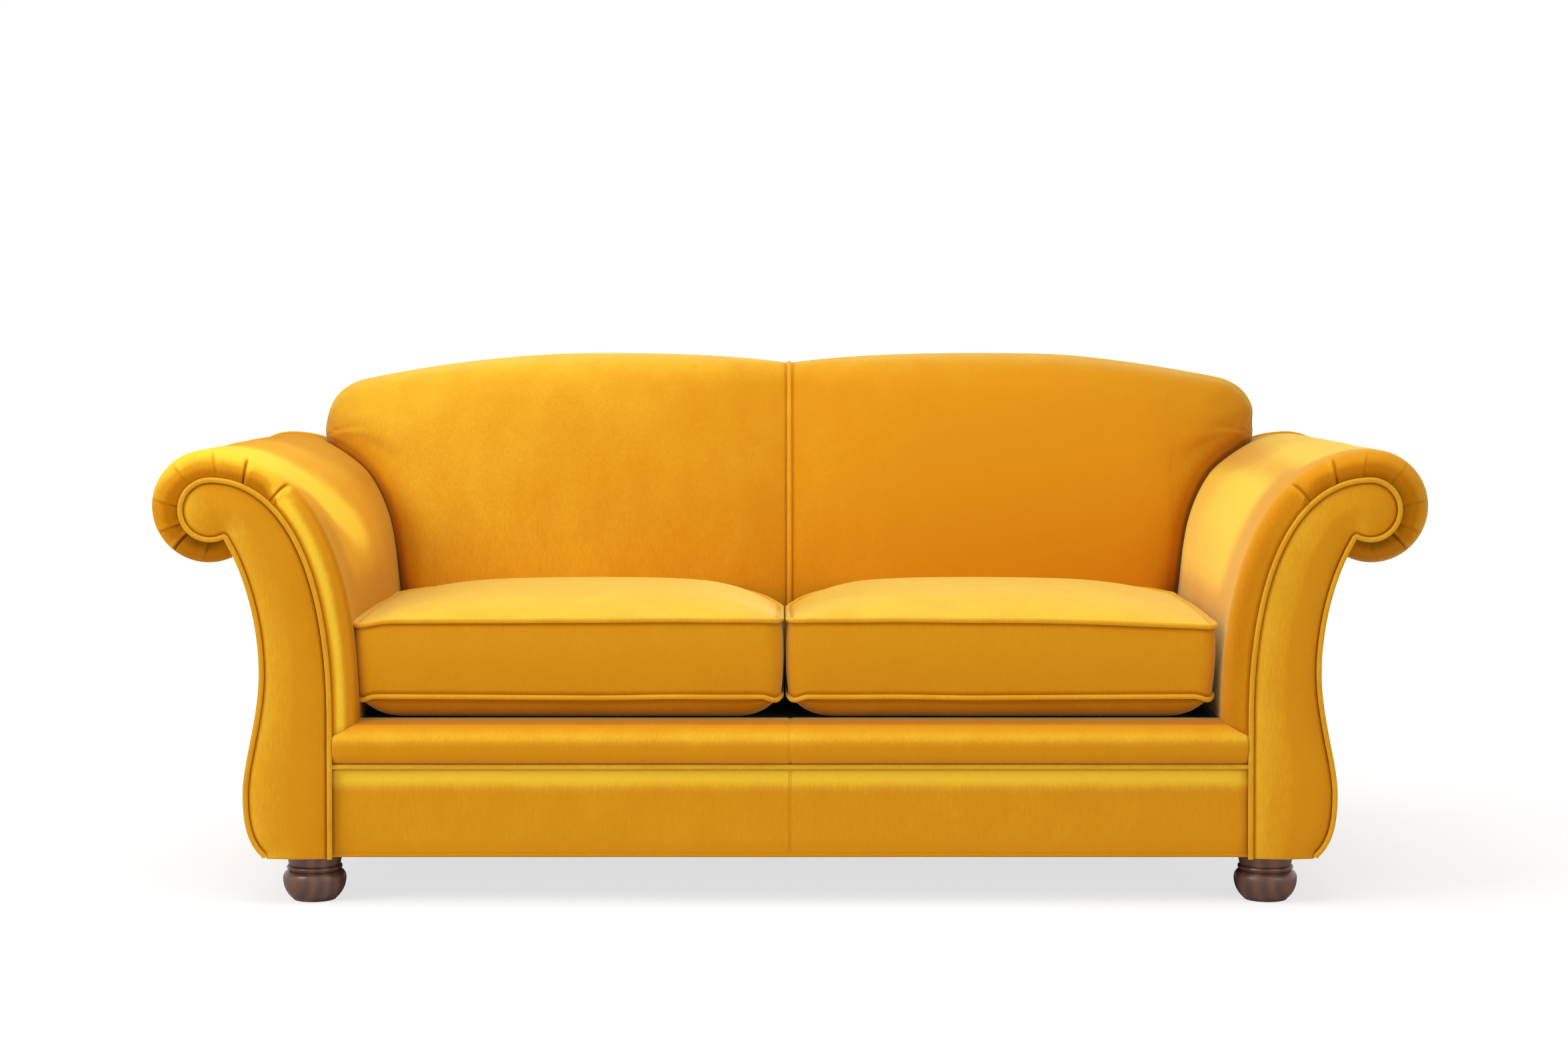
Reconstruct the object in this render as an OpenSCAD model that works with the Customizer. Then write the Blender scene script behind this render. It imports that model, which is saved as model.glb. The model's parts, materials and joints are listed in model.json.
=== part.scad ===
// Two-seat upholstered sofa with rolled scroll arms, loose seat cushions, a tight back and turned bun feet.
// X runs along the seat, Y from front to back and Z up. The origin is on the floor under the middle of
// the sofa. Left and right are as seen from in front of it.
// Depths are measured backwards from the plane of the arm facings, and widths across an arm are
// measured outwards from the face of its pad, with at() and pad_x placing both in the frame.

/* [Overall] */
// Width over both arm scrolls
overall_w = 2100; // [1800:10:2600]
// Depth from the bulge of the seat lip to the outside back
overall_d = 905; // [880:5:980]
// Height of the feet
foot_h = 80; // [60:1:110]
// Height from the underside of the rails to the top of the deck
base_h = 220; // [205:1:250]

/* [Arms] */
// Width of an arm, from its pad to the outside of the scroll
arm_w = 340; // [325:1:370]
// Height of the arm above the deck, at the front
arm_rise = 445; // [420:1:470]
// Fall of the top of the arm from front to back
arm_drop = 14; // [0:1:24]
// Radius of the scroll
scroll_r = 93; // [86:1:98]
// Radius of the rolled front edge
roll_r = 44; // [38:1:48]
// Width of the arm at its waist
waist_w = 161; // [158:1:176]
// Width of the arm at the swell near the floor
swell_w = 185; // [180:1:200]
// Width of the arm along its lower edge
hem_w = 149; // [146:1:160]
// Thickness of the foam over the arm
arm_foam_t = 25; // [18:1:28]

/* [Back] */
// Height of the back above the deck, at its crests
back_rise = 587; // [560:1:640]
// Dip of the top of the back at the middle seam
back_dip = 19; // [5:1:30]
// Reach of the back over each arm
back_reach = 173; // [160:1:175]
// Distance the face of the back leans away from bottom to top
back_lean = 129; // [90:1:135]
// Thickness of the back at the seat
back_t = 252; // [235:1:260]
// Depth that the middle seam is pulled in
seam_pull = 30; // [10:1:40]

/* [Seat] */
// Distance of the cushions behind the arm facings
cushion_front = 30; // [26:1:40]
// Height of the cushion border between its pipings
cushion_t = 126; // [100:1:150]
// Height of the crown above the upper piping
cushion_crown = 40; // [20:1:60]
// Radius of the cushion corners
cushion_corner_r = 42; // [30:1:60]
// Gap beside each cushion
cushion_gap = 1; // [0.5:0.5:4]
// Height of the seat lip
lip_h = 70; // [60:1:80]

/* [Cloth and trim] */
// Thickness of the cloth
cloth_t = 2; // [1.5:0.1:2.5]
// Radius of the piping
piping_r = 4; // [3:0.1:4.5]

/* [Frame] */
// Thickness of the seat rails
rail_t = 30; // [22:1:34]
// Height of the seat rails
rail_h = 175; // [150:1:180]
// Depth of the back posts
post_t = 35; // [28:1:38]
// Thickness of the arm boards
board_t = 18; // [15:1:22]
// Thickness of the curved arm panels
panel_t = 3; // [2:0.5:4]
// Number of springs under each cushion
springs_each = 4; // [3:1:5]
// Radius of the bends of a spring
spring_bend_r = 15; // [14:1:18]

/* [Feet] */
// Radius of a bun foot at its widest
foot_r = 52; // [44:1:54]
// Radius of the flat under a foot
foot_base_r = 35; // [28:1:38]
// Distance from the arm pad out to the middle of a foot
foot_out = 77; // [70:1:90]
// Distance of the front feet behind the arm facings
foot_front = 58; // [56:1:80]
// Distance of the rear feet in front of the outside back
foot_rear = 100; // [95:1:140]
// Radius of the foot bolts
bolt_r = 4; // [3:0.5:5]

/* [Hidden] */

yellow = [0.86, 0.60, 0.12];
yellow_trim = [0.80, 0.53, 0.09];
foam_colour = [0.93, 0.90, 0.80];
timber = [0.76, 0.62, 0.42];
board_colour = [0.70, 0.58, 0.42];
steel = [0.62, 0.63, 0.66];
jute = [0.55, 0.47, 0.32];
walnut = [0.31, 0.20, 0.15];
black_cloth = [0.12, 0.12, 0.13];

fit = 0.3; // clearance between pieces that part from each other

// Heights above the floor
deck_z = foot_h + base_h;
rail_top = foot_h + rail_h;
arm_top_z = deck_z + arm_rise;
back_top_z = deck_z + back_rise;
hem_z = foot_h - 1;

// Widths from the middle of the sofa
pad_x = overall_w / 2 - arm_w;
box_x = pad_x + roll_r;
back_x = pad_x + back_reach;

// Depths behind the arm facings
lip_proud = 5;
back_d = overall_d - lip_proud;
outside_back_t = 3;
frame_d = back_d - outside_back_t;
post_d = frame_d - post_t;
seat_face = back_d - back_t;
rail_d = 20;

// Shape of the arm section, for the full section and for the smaller facing
facing_shift = [9, 4];      // the facing's scroll sits this much further in and down
pad_swell = [300, 260];     // height over which the pad stays close to upright
pad_reach = [145, 115];     // length over which the top flattens into the scroll
scroll_end = -119;          // angle at which the scroll tucks under
waist_rise = 81;            // height of the waist above the deck
swell_rise = 85;            // height of the swell above the rails
facing_waist_in = 6;       // the facing is narrower than the section at the waist
facing_swell_in = 3;
facing_swell_up = 16;
outer_t = 5;                // cloth, wadding and card of the outer side
pad_t = cloth_t + arm_foam_t + panel_t;
facing_t = 10;

// Seat lip, deck and panel
lip_run = 50;               // depth at which the rounded lip meets the flat deck
lip_round = 35;             // height of its rounded upper edge
lip_end = deck_z - lip_h;
piping_z = lip_end - piping_r;
panel_top = piping_z - piping_r;
panel_front = 15;
deck_start = 56;
lip_x = box_x - piping_r - 0.5;
front_x = box_x - 2;

// Springs
wire = 4;
clip_t = 1.2;
spring_span = 50;
spring_z = rail_top + clip_t;
tie_r = 1.6;
deck_foam_z = spring_z + wire + 2 * tie_r;
spring_start = rail_d + rail_t - 12;
spring_end = post_d + 12;

// Back frame
post_out = 90;
post_x = pad_x + post_out;  // inner side of the back posts, inside the arms
post_w = 38;
centre_post_w = 44;
tuck_rail_h = 40;
top_rail_h = 111;
cap_gap = 6;                // wadding between the top rail and the cloth
web_t = 1.5;
web_w = 50;
webs_each = 5;              // upright webs in each half of the back
cross_webs = [0.5, 0.8];    // heights of the level webs, as shares of the upright ones
web_end = pad_x - 20;

// Back shape
crest_x = back_x * 0.4;
shoulder_in = 68;
shoulder_x = back_x - shoulder_in;
shoulder_drop = 51;
side_top_z = arm_top_z - 6;
lean_rise = 180;            // the face stands upright this far above the deck
lean_z = deck_z + lean_rise;
crest_in = 62;              // the crest runs this far in front of the posts' rear faces
rear_fall = 14;             // the top falls this much to its rear edge
top_round = 45;
seam_run = 220;
corner_run = 316;
corner_pull = 60;
seat_gap = 1.5;             // room between the back and the arms
back_foam_d = post_d - 2 * web_t;

// Cushions
cushion_d = seat_face - cushion_front - 3;
cushion_w = pad_x - 2 * cushion_gap;
cushion_low = deck_z + 37;
cushion_high = cushion_low + cushion_t;
cushion_half = [cushion_w / 2 - piping_r, cushion_d / 2 - piping_r];
cushion_sag = cushion_low - deck_z - fit;

// Arm frame
slat_t = 22;
slat_h = 60;
arm_rail_h = 30;
arm_rail_w = 96;

// Feet
foot_rear_d = back_d - foot_rear;
tee_r = bolt_r + 1;
bolt_depth = 36;

function at(d) = d + lip_proud - overall_d / 2;
function mix(a, b, t) = a + (b - a) * t;
function unit(v) = v / norm(v);
function joined(lists) = [for (list = lists) for (item = list) item];
function reversed(list) = [for (i = [len(list) - 1:-1:0]) list[i]];
function mirrored(path) = [for (p = reversed(path)) [-p.x, p.y]];

// A cubic curve through p[0] and p[3], as points from step `from` to `steps`
function curve_at(p, t) =
    (1 - t) ^ 3 * p[0] + 3 * t * (1 - t) ^ 2 * p[1] + 3 * t ^ 2 * (1 - t) * p[2] + t ^ 3 * p[3];
function curve(p, steps, from = 0) = [for (i = [from:steps]) curve_at(p, i / steps)];

// The normal on the right-hand side of a path, and the path moved along it
function path_normal(path, i) =
    let (travel = unit(path[min(i + 1, len(path) - 1)] - path[max(i - 1, 0)]))
    [travel.y, -travel.x];
function inset(path, s) = [for (i = [0:len(path) - 1]) path[i] + s * path_normal(path, i)];
function tail(list) = [for (i = [1:len(list) - 1]) list[i]];

// Height of the arm's top, of the lip's rounded edge and of whatever the arm pad stands on
function arm_top(d) = arm_top_z - arm_drop * max(0, d - roll_r) / (frame_d - roll_r);
function lip_top(d) =
    deck_z - lip_round * (1 - sqrt(max(0, 1 - (max(0, lip_run - d) / (lip_run + lip_proud)) ^ 2)));

// Arm section at depth d, where g is 0 on the full section and 1 on the facing.
// arm_scroll() runs up the pad, over the top and round the scroll, and arm_flank() down the outer side.
function scroll_centre(g, d) = [
    arm_w - scroll_r - facing_shift.x * g,
    mix(arm_top(d) - scroll_r, arm_top_z - scroll_r - facing_shift.y, g)
];
function arm_scroll(g, d) =
    let (
        r = scroll_r - roll_r * g,
        c = scroll_centre(g, d),
        foot = [roll_r * g, deck_z],
        rise = [roll_r * g, deck_z + mix(pad_swell[0], pad_swell[1], g)],
        top = c + [0, r],
        turn = (90 - scroll_end) / 12
    )
    concat(
        [[roll_r * g, lip_top(d) + fit]],
        curve([foot + [0, fit + 1], rise, top - [mix(pad_reach[0], pad_reach[1], g), 0], top], 10),
        [for (k = [1:12]) c + r * [cos(90 - k * turn), sin(90 - k * turn)]]
    );
function arm_flank(g, d) =
    let (
        scroll = arm_scroll(g, d),
        tuck = scroll[len(scroll) - 1],
        waist = [waist_w - facing_waist_in * g, deck_z + waist_rise],
        swell = [swell_w - facing_swell_in * g, foot_h + swell_rise + facing_swell_up * g],
        hem = [hem_w, hem_z],
        upper = tuck - waist,
        middle = waist - swell,
        lower = swell - hem
    )
    concat(
        curve([tuck, tuck - [0.7 * upper.x, 0.3 * upper.y], waist + [0, 0.3 * upper.y], waist], 5),
        curve([waist, waist - [0, 0.38 * middle.y], swell + [0, 0.26 * middle.y], swell], 4, 1),
        curve([swell, swell - [0, 0.5 * lower.y], hem + [0.75 * lower.x, 0.2 * lower.y], hem], 3, 1)
    );

// Height of the arm's surface at distance u from its pad, on the section's own chords
function arm_surface(u, d) =
    let (path = arm_scroll(0, d))
    lookup(u, [for (i = [1:11]) [path[i].x, path[i].y]]);

// Top line of one half of the back, from the middle seam to the widest point of its side
function back_line() =
    let (
        crest = [crest_x, back_top_z],
        shoulder = [shoulder_x, back_top_z - shoulder_drop],
        side = [back_x, side_top_z],
        fall = shoulder - crest,
        corner = side - shoulder
    )
    joined([
        curve([[0, back_top_z - back_dip], [crest_x * 0.25, back_top_z - back_dip * 0.3],
               [crest_x * 0.6, back_top_z], crest], 4),
        curve([crest, crest + [0.42 * fall.x, 0], shoulder - [0.2 * fall.x, 0.4 * fall.y], shoulder], 8, 1),
        curve(
            [shoulder, shoulder + [0.64 * corner.x, 0.15 * corner.y], side - [0.03 * corner.x, 0.55 * corner.y], side],
              5, 1)
    ]);

// Stations along the back as [x, height of the top]. They bunch where the back climbs over the arm.
function back_stations() =
    let (
        line = back_line(),
        pad = arm_scroll(0, post_d),
        inner = concat([piping_r], [0.065, 0.155, 0.28, 0.49, 0.73, 0.89] * pad_x, [pad_x - 1]),
        over = concat([pad_x + 0.6], [for (i = [2:7]) pad_x + pad[i].x])
    )
    concat(
        [for (x = concat(inner, over)) [x, lookup(x, line)]],
        [for (p = line) if (p.x > pad_x + pad[7].x + 12) p],
        [[back_x - 8, side_top_z - 15]]
    );
// The stations moved in by s: downwards, and also sideways round the side of the back
function inner_stations(s) =
    let (stations = back_stations(), moved = inset(stations, s))
    [for (i = [0:len(stations) - 1])
        [stations[i].x > shoulder_x + 12 ? moved[i].x : stations[i].x, moved[i].y]];
function back_foot(x, d) = x < pad_x ? deck_z : arm_surface(x - pad_x, d) + seat_gap;
function back_face(x, z, top) =
    seat_face + back_lean * (max(0, z - lean_z) / (top - lean_z)) ^ 1.8
    + seam_pull * max(0, 1 - x / seam_run) ^ 2
    + corner_pull * (max(0, x - back_x + corner_run) / corner_run) ^ 3;

// Points of the back's skin at one station, from its foot over the top as far back as depth `last`
function back_path(p, s, last) =
    let (
        x = p.x,
        top = p.y,
        crest_d = frame_d - crest_in,
        foot = back_foot(x, seat_face + 60),
        round = min(top_round, 0.6 * (top - foot)),
        edge = top - round,
        face = back_face(x, edge, top) + s,
        fall = rear_fall * min(1, (top - foot) / 60)
    )
    concat(
        [for (k = [0:5])
            let (z = mix(foot, edge, k / 5), d = back_face(x, z, top) + s)
            [x, at(d), k == 0 ? back_foot(x, d) : z]],
        [for (a = [30:30:90]) [x, at(crest_d - (crest_d - face) * cos(a)), edge + round * sin(a)]],
        [for (d = last) [x, at(d), top - fall * ((d - crest_d) / crest_in) ^ 2]]
    );

// A solid through closed rings of points, with its two ends closed by `ends`. From point `turn` on, the
// faces are split along the other diagonal, so that a skin's inner side matches what lies under it.
module loft(rings, ends, turn = 1000) {
    n = len(rings[0]);
    sides = [for (j = [0:len(rings) - 2]) for (i = [0:n - 1])
        let (a = j * n + i, b = j * n + (i + 1) % n)
        each i < turn ? [[a, b + n, b], [a, a + n, b + n]] : [[a, a + n, b], [b, a + n, b + n]]];
    last = (len(rings) - 1) * n;
    caps = [for (face = ends) each [face, reversed([for (i = face) i + last])]];
    polyhedron(points = joined(rings), faces = concat(sides, caps), convexity = 6);
}

// A skin: each ring is a path out along one surface and back along the other
module skin(outer, inner) {
    m = len(outer[0]);
    loft([for (j = [0:len(outer) - 1]) concat(outer[j], reversed(inner[j]))],
         [for (i = [0:m - 2]) [i, i + 1, 2 * m - 2 - i, 2 * m - 1 - i]], m);
}

// A round cord along a path that lies in one plane, whose normal is `side`
module cord(path, side, r) {
    sides = 6;
    rings = [for (i = [0:len(path) - 1])
        let (
            before = unit(path[max(i, 1)] - path[max(i, 1) - 1]),
            after = unit(path[min(i, len(path) - 2) + 1] - path[min(i, len(path) - 2)]),
            travel = unit(before + after),
            across = cross(side, travel),
            miter = 1 / sqrt(max(0.2, (1 + before * after) / 2))
        )
        [for (k = [0:sides - 1])
            let (a = k * 360 / sides)
            path[i] + r * (miter * cos(a) * across + sin(a) * side)]];
    loft(rings, [[for (k = [0:sides - 1]) k]]);
}

// A prism along X from a polygon of [depth, height]
module along_x(x0, x1) {
    translate([x0, 0, 0]) rotate([90, 0, 90]) linear_extrude(x1 - x0) children();
}

// A prism along Y from a polygon of [x, height]
module along_y(d0, d1) {
    translate([0, at(d1), 0]) rotate([90, 0, 0]) linear_extrude(d1 - d0) children();
}
module slab(x0, x1, d0, d1, z0, z1) {
    translate([x0, at(d0), z0]) cube([x1 - x0, d1 - d0, z1 - z0]);
}
module left() {
    mirror([1, 0, 0]) children();
}
module both() {
    children();
    left() children();
}

// Seat frame

module front_rail() {
    color(timber) slab(-box_x, box_x, rail_d, rail_d + rail_t, foot_h, rail_top);
}
module rear_rail() {
    color(timber) slab(-post_x, post_x, post_d, frame_d, foot_h, rail_top);
}
module side_rail() {
    color(timber) slab(box_x - rail_t, box_x, rail_d + rail_t, post_d, foot_h, rail_top);
}
module centre_rail() {
    color(timber) slab(-rail_t / 2, rail_t / 2, rail_d + rail_t, post_d, foot_h, rail_top - 30);
}
module corner_blocks() {
    leg = 90;
    tall = 45;
    color(timber) both() {
        x = box_x - rail_t;
        for (end = [[rail_d + rail_t, 1], [post_d, -1]])
            translate([0, 0, foot_h]) linear_extrude(tall)
                polygon([[x, at(end[0])], [x - leg, at(end[0])], [x, at(end[0]) + end[1] * leg]]);
    }
}

// Arm frames

module arm_board(d, g) {
    middle = d + board_t / 2;
    scroll = arm_scroll(0, middle);
    upper = inset(tail(scroll), pad_t + 0.2);
    outer = inset(arm_flank(g, middle), outer_t + 0.2);
    hem = [outer[len(outer) - 1].x, foot_h];
    inner = [[roll_r, foot_h], [roll_r, deck_z]];
    color(board_colour) translate([pad_x, 0, 0]) along_y(d, d + board_t)
        polygon(concat(inner, upper, outer, [hem]));
}
module arm_rails() {
    start = facing_t + board_t;
    end = post_d - board_t;
    head = scroll_centre(0, end);
    outer = pad_x + waist_w - outer_t - 1;
    color(timber) {
        translate([pad_x + head.x, at(end), head.y]) rotate([90, 0, 0])
            cylinder(r = scroll_r - pad_t - 20, h = end - start, $fn = 48);
        slab(pad_x + pad_t + 3, pad_x + pad_t + 3 + slat_t, start, end, deck_z + 5, deck_z + 5 + slat_h);
        slab(outer - slat_t, outer, start, end, deck_z + 3 * slat_h, deck_z + 4 * slat_h);
    }
}
module arm_bottom_rail() {
    color(timber) difference() {
        slab(box_x, box_x + arm_rail_w, facing_t + board_t, post_d - board_t, foot_h, foot_h + arm_rail_h);
        for (d = [foot_front, foot_rear_d])
            translate([pad_x + foot_out, at(d), foot_h - 1])
                cylinder(r = tee_r, h = arm_rail_h + 2, $fn = 48);
    }
}

// Back frame

top_rail_z = back_top_z - cap_gap - top_rail_h;
module back_posts() {
    line = back_line();
    outer = post_x + post_w;
    fall = rear_fall + 3 * cap_gap;
    color(timber) both() along_y(post_d, frame_d)
        polygon([
            [post_x, foot_h], [outer, foot_h],
            [outer, lookup(outer, line) - fall], [post_x, lookup(post_x, line) - fall]
        ]);
}
module back_centre_post() {
    half = centre_post_w / 2;
    color(timber) slab(-half, half, post_d, frame_d, deck_z + tuck_rail_h, top_rail_z);
}
module back_top_rail() {
    line = [for (p = back_line()) if (p.x < post_x - 10) p];
    top = concat(line, [[post_x, lookup(post_x, back_line())]]);
    lowered = [for (p = top) p - [0, rear_fall + cap_gap]];
    color(timber) along_y(post_d, frame_d)
        polygon(concat(
            [[post_x, top_rail_z]],
            reversed(lowered),
            mirrored(reversed(lowered)),
            [[-post_x, top_rail_z]]
        ));
}
module back_tuck_rail() {
    color(timber) slab(-post_x, post_x, post_d, frame_d, deck_z, deck_z + tuck_rail_h);
}

// Springs and webbing

function spring_x() =
    [for (side = [-1, 1]) for (k = [1:springs_each]) side * (k - 0.5) * (box_x - rail_t) / springs_each];
module spring() {
    bends = floor((spring_end - spring_start) / (2 * spring_bend_r)) - 1;
    half = spring_span / 2 - spring_bend_r;
    lead = ((spring_end - spring_start) - bends * 2 * spring_bend_r) / 2;
    linear_extrude(wire) {
        for (i = [0:bends])
            translate([-half, lead + i * 2 * spring_bend_r - wire / 2]) square([2 * half, wire]);
        for (i = [0:bends - 1]) {
            side = i % 2 == 0 ? 1 : -1;
            translate([side * half, lead + (2 * i + 1) * spring_bend_r]) scale([side, 1]) intersection() {
                difference() {
                    circle(r = spring_bend_r + wire / 2, $fn = 40);
                    circle(r = spring_bend_r - wire / 2, $fn = 40);
                }
                translate([0, -2 * spring_bend_r]) square(4 * spring_bend_r);
            }
        }
        for (end = [[-half, 0], [bends % 2 == 0 ? -half : half, 1]]) {
            y = end[1] * (spring_end - spring_start - lead);
            translate([end[0] - wire / 2, y - wire / 2]) square([wire, lead + wire / 2]);
            translate([end[0] - 12, end[1] * (spring_end - spring_start) - wire / 2]) square([24, wire]);
        }
    }
}
module seat_springs() {
    color(steel) for (x = spring_x()) translate([x, at(spring_start), spring_z]) spring();
}
module spring_clips() {
    half = spring_span / 2 - spring_bend_r;
    bends = floor((spring_end - spring_start) / (2 * spring_bend_r)) - 1;
    rear_side = bends % 2 == 0 ? -half : half;
    color(steel) for (x = spring_x()) for (end = [[spring_start, -half, 1], [spring_end, rear_side, -1]]) {
        back = end[0] - end[2] * (wire / 2 + clip_t);
        translate([x + end[1] - 10, at(back), rail_top])
            scale([1, end[2], 1]) rotate([90, 0, 90]) linear_extrude(20)
            difference() {
                square([wire + clip_t + 8, wire + 2 * clip_t]);
                translate([clip_t, clip_t]) square([wire + 10, wire]);
            }
    }
}
module spring_ties() {
    color(steel) for (share = [0.33, 0.67])
        translate([-box_x + rail_t / 2, at(mix(spring_start, spring_end, share)), spring_z + wire + tie_r])
            rotate([0, 90, 0]) cylinder(r = tie_r, h = 2 * box_x - rail_t, $fn = 24);
}
module back_webbing() {
    low = deck_z + 8;
    high = top_rail_z + web_w / 2;
    color(jute) {
        for (side = [-1, 1]) for (k = [1:webs_each]) {
            x = side * (k - 0.35) * pad_x / webs_each;
            slab(x - web_w / 2, x + web_w / 2, post_d - web_t, post_d, low, high);
        }
        for (share = cross_webs) {
            z = mix(low, high, share);
            slab(-web_end, web_end, post_d - 2 * web_t, post_d - web_t, z, z + web_w);
        }
    }
}

// Seat deck and front

function lip_curve() = concat(
    curve([[10, lip_end], [0, lip_end + 1], [-lip_proud, mix(lip_end, deck_z - lip_round, 0.45)],
           [-lip_proud, deck_z - lip_round]], 5),
    [for (a = [15:15:90]) [lip_run - (lip_run + lip_proud) * cos(a), deck_z - lip_round * (1 - sin(a))]],
    [[deck_start, deck_z]]
);
function placed(path) = [for (p = path) [at(p.x), p.y]];
module lip_cover() {
    color(yellow) along_x(-lip_x, lip_x)
        polygon(placed(concat(lip_curve(), reversed(inset(lip_curve(), cloth_t)))));
}
module lip_foam() {
    step = spring_start - 4;
    inner = inset(lip_curve(), cloth_t);
    color(foam_colour) along_x(-lip_x, lip_x)
        polygon(placed(concat(
            [for (p = inner) if (p.x < rail_d || p.y > rail_top + 1) p],
            [[deck_start, deck_foam_z], [step, deck_foam_z], [step, rail_top], [rail_d, rail_top],
             [rail_d, inner[0].y]]
        )));
}
module deck_foam() {
    color(foam_colour) slab(-front_x, front_x, deck_start, back_foam_d, deck_foam_z, deck_z - cloth_t);
}
module deck_cloth() {
    color(black_cloth) slab(-front_x, front_x, deck_start, back_foam_d, deck_z - cloth_t, deck_z);
}
module front_panel() {
    color(yellow) slab(-front_x, front_x, panel_front, rail_d, hem_z, panel_top);
}
module front_piping() {
    color(yellow_trim) {
        translate([-front_x, at(panel_front), piping_z]) rotate([0, 90, 0])
            cylinder(r = piping_r, h = 2 * front_x, $fn = 32);
        slab(-front_x, front_x, panel_front, rail_d, piping_z - 1, piping_z + 1);
    }
}
module dust_cover() {
    color(black_cloth) difference() {
        slab(-box_x - arm_rail_w, box_x + arm_rail_w, rail_d + 2, frame_d - 2, hem_z, foot_h);
        both() for (d = [foot_front, foot_rear_d])
            translate([pad_x + foot_out, at(d), hem_z - 1]) cylinder(r = foot_r, h = 3, $fn = 64);
    }
}

// Arm upholstery

function arm_ring(path, d) = [for (p = path) [pad_x + p.x, at(d), p.y]];
function section(part, g, d) = part == "scroll" ? arm_scroll(g, d) : arm_flank(g, d);

// Angle round the rolled front edge at which the cloth starts: beside the piping on the deep roll of the
// scroll, and behind the piping on the flank and in the throat of the scroll
function start_angle(part, i) =
    let (
        full = section(part, 0, 0),
        depth = norm(full[i] - section(part, 1, 0)[i]),
        beside = asin((piping_r + 0.6) / depth),
        behind = acos(1 - (piping_r + 2.5) / roll_r)
    )
    part == "flank" || i > len(full) - 3 ? behind : beside;

// Ring number k of 5 round the rolled edge, on a surface that lies t under the outer one
function rolled_ring(part, k, t) =
    let (full = section(part, 0, 0))
    [for (i = [0:len(full) - 1])
        let (
            a = mix(start_angle(part, i), 90, k / 5),
            d = t + (roll_r - t) * (1 - cos(a)),
            p = inset(section(part, 1 - sin(a), d), t * sin(a))[i]
        )
        [pad_x + p.x, at(d), p.y]];

// The last ring of the scroll stops at the back post and runs on to the outside back beside it
function scroll_end_ring(t) =
    let (
        near = inset(arm_scroll(0, post_d), t),
        far = inset(arm_scroll(0, frame_d), t),
        full = arm_scroll(0, post_d)
    )
    [for (i = [0:len(full) - 1])
        let (behind_post = full[i].x < post_x + post_w - pad_x + 5, p = behind_post ? near[i] : far[i])
        [pad_x + p.x, at(behind_post ? post_d : frame_d), p.y]];
module arm_cover() {
    color(yellow) skin(
        concat([for (k = [0:5]) rolled_ring("scroll", k, 0)], [scroll_end_ring(0)]),
        concat([for (k = [0:5]) rolled_ring("scroll", k, cloth_t)], [scroll_end_ring(cloth_t)])
    );
}
module arm_outside() {
    end = arm_flank(0, frame_d);
    color(yellow) skin(
        concat([for (k = [0:5]) rolled_ring("flank", k, 0)], [arm_ring(end, frame_d)]),
        concat([for (k = [0:5]) rolled_ring("flank", k, outer_t)], [arm_ring(inset(end, outer_t), frame_d)])
    );
}
module arm_foam() {
    back = cloth_t + arm_foam_t;
    outer = [for (k = [0:5]) rolled_ring("scroll", k, cloth_t)];
    inner = [for (ring = outer)
        [for (i = [0:len(ring) - 1])
            let (
                share = (ring[i].y - outer[0][i].y) / (at(roll_r) - outer[0][i].y),
                d = mix(facing_t - 0.2, roll_r, share),
                p = inset(arm_scroll(0, d), back)[i]
            )
            [pad_x + p.x, at(d), p.y]]];
    color(foam_colour) skin(
        concat(outer, [scroll_end_ring(cloth_t)]),
        concat(inner, [scroll_end_ring(back)])
    );
}
module arm_panel() {
    depths = [facing_t + 4, roll_r, post_d];
    under_foam = cloth_t + arm_foam_t + 0.1;
    color(board_colour) skin(
        [for (d = depths) arm_ring(inset(tail(arm_scroll(0, d)), under_foam), d)],
        [for (d = depths) arm_ring(inset(tail(arm_scroll(0, d)), pad_t), d)]
    );
}
module arm_facing() {
    low = [roll_r + piping_r, hem_z];
    upper = inset(arm_scroll(1, 0), piping_r + 0.35);
    outer = inset(arm_flank(1, 0), piping_r + 0.8);
    color(yellow) translate([pad_x, 0, 0]) along_y(0, facing_t)
        polygon(concat([low], upper, [for (p = outer) if (p.y > hem_z + 3) p], [[hem_w - piping_r, hem_z]]));
}
module arm_piping() {
    flank = arm_flank(1, 0);
    scroll = arm_scroll(1, 0);
    route = concat([[roll_r, hem_z]], tail(scroll), tail(flank));
    color(yellow_trim) cord([for (p = route) [pad_x + p.x, at(2), p.y]], [0, 1, 0], piping_r);
}

// Back upholstery

module back_cover() {
    last = [back_foam_d, frame_d - 8, frame_d];
    color(yellow) skin(
        reversed([for (p = back_stations()) back_path(p, 0, last)]),
        reversed([for (p = inner_stations(cloth_t)) back_path(p, cloth_t, last)])
    );
}
module back_foam() {
    rings = [for (p = inner_stations(cloth_t))
        concat(
            [[p.x, at(back_foam_d), back_foot(p.x, back_foam_d)]],
            back_path(p, cloth_t, [back_foam_d])
        )];
    color(foam_colour) loft(reversed(rings), [[for (k = [0:len(rings[0]) - 1]) k]]);
}
module back_piping() {
    path = back_path([0, back_top_z - back_dip], 0, [back_foam_d, frame_d - 8, frame_d - 2]);
    color(yellow_trim) cord(path, [1, 0, 0], piping_r - 0.4);
}
module outside_back() {
    scroll = arm_scroll(0, frame_d);
    rim = inset(back_line(), rear_fall - 2);
    arm = concat(reversed(arm_flank(0, frame_d)), reversed([for (p = scroll) if (p.x > back_reach - 4) p]));
    half = concat(
        [for (p = arm) p + [pad_x, 0]],
        [[back_x - 8, arm_surface(back_reach - 8, frame_d)]],
        reversed([for (p = rim) if (p.x > 30) p])
    );
    color(yellow) along_y(frame_d, back_d) polygon(concat(half, mirrored(half)));
}

// Seat cushions, made about their own middle

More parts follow.
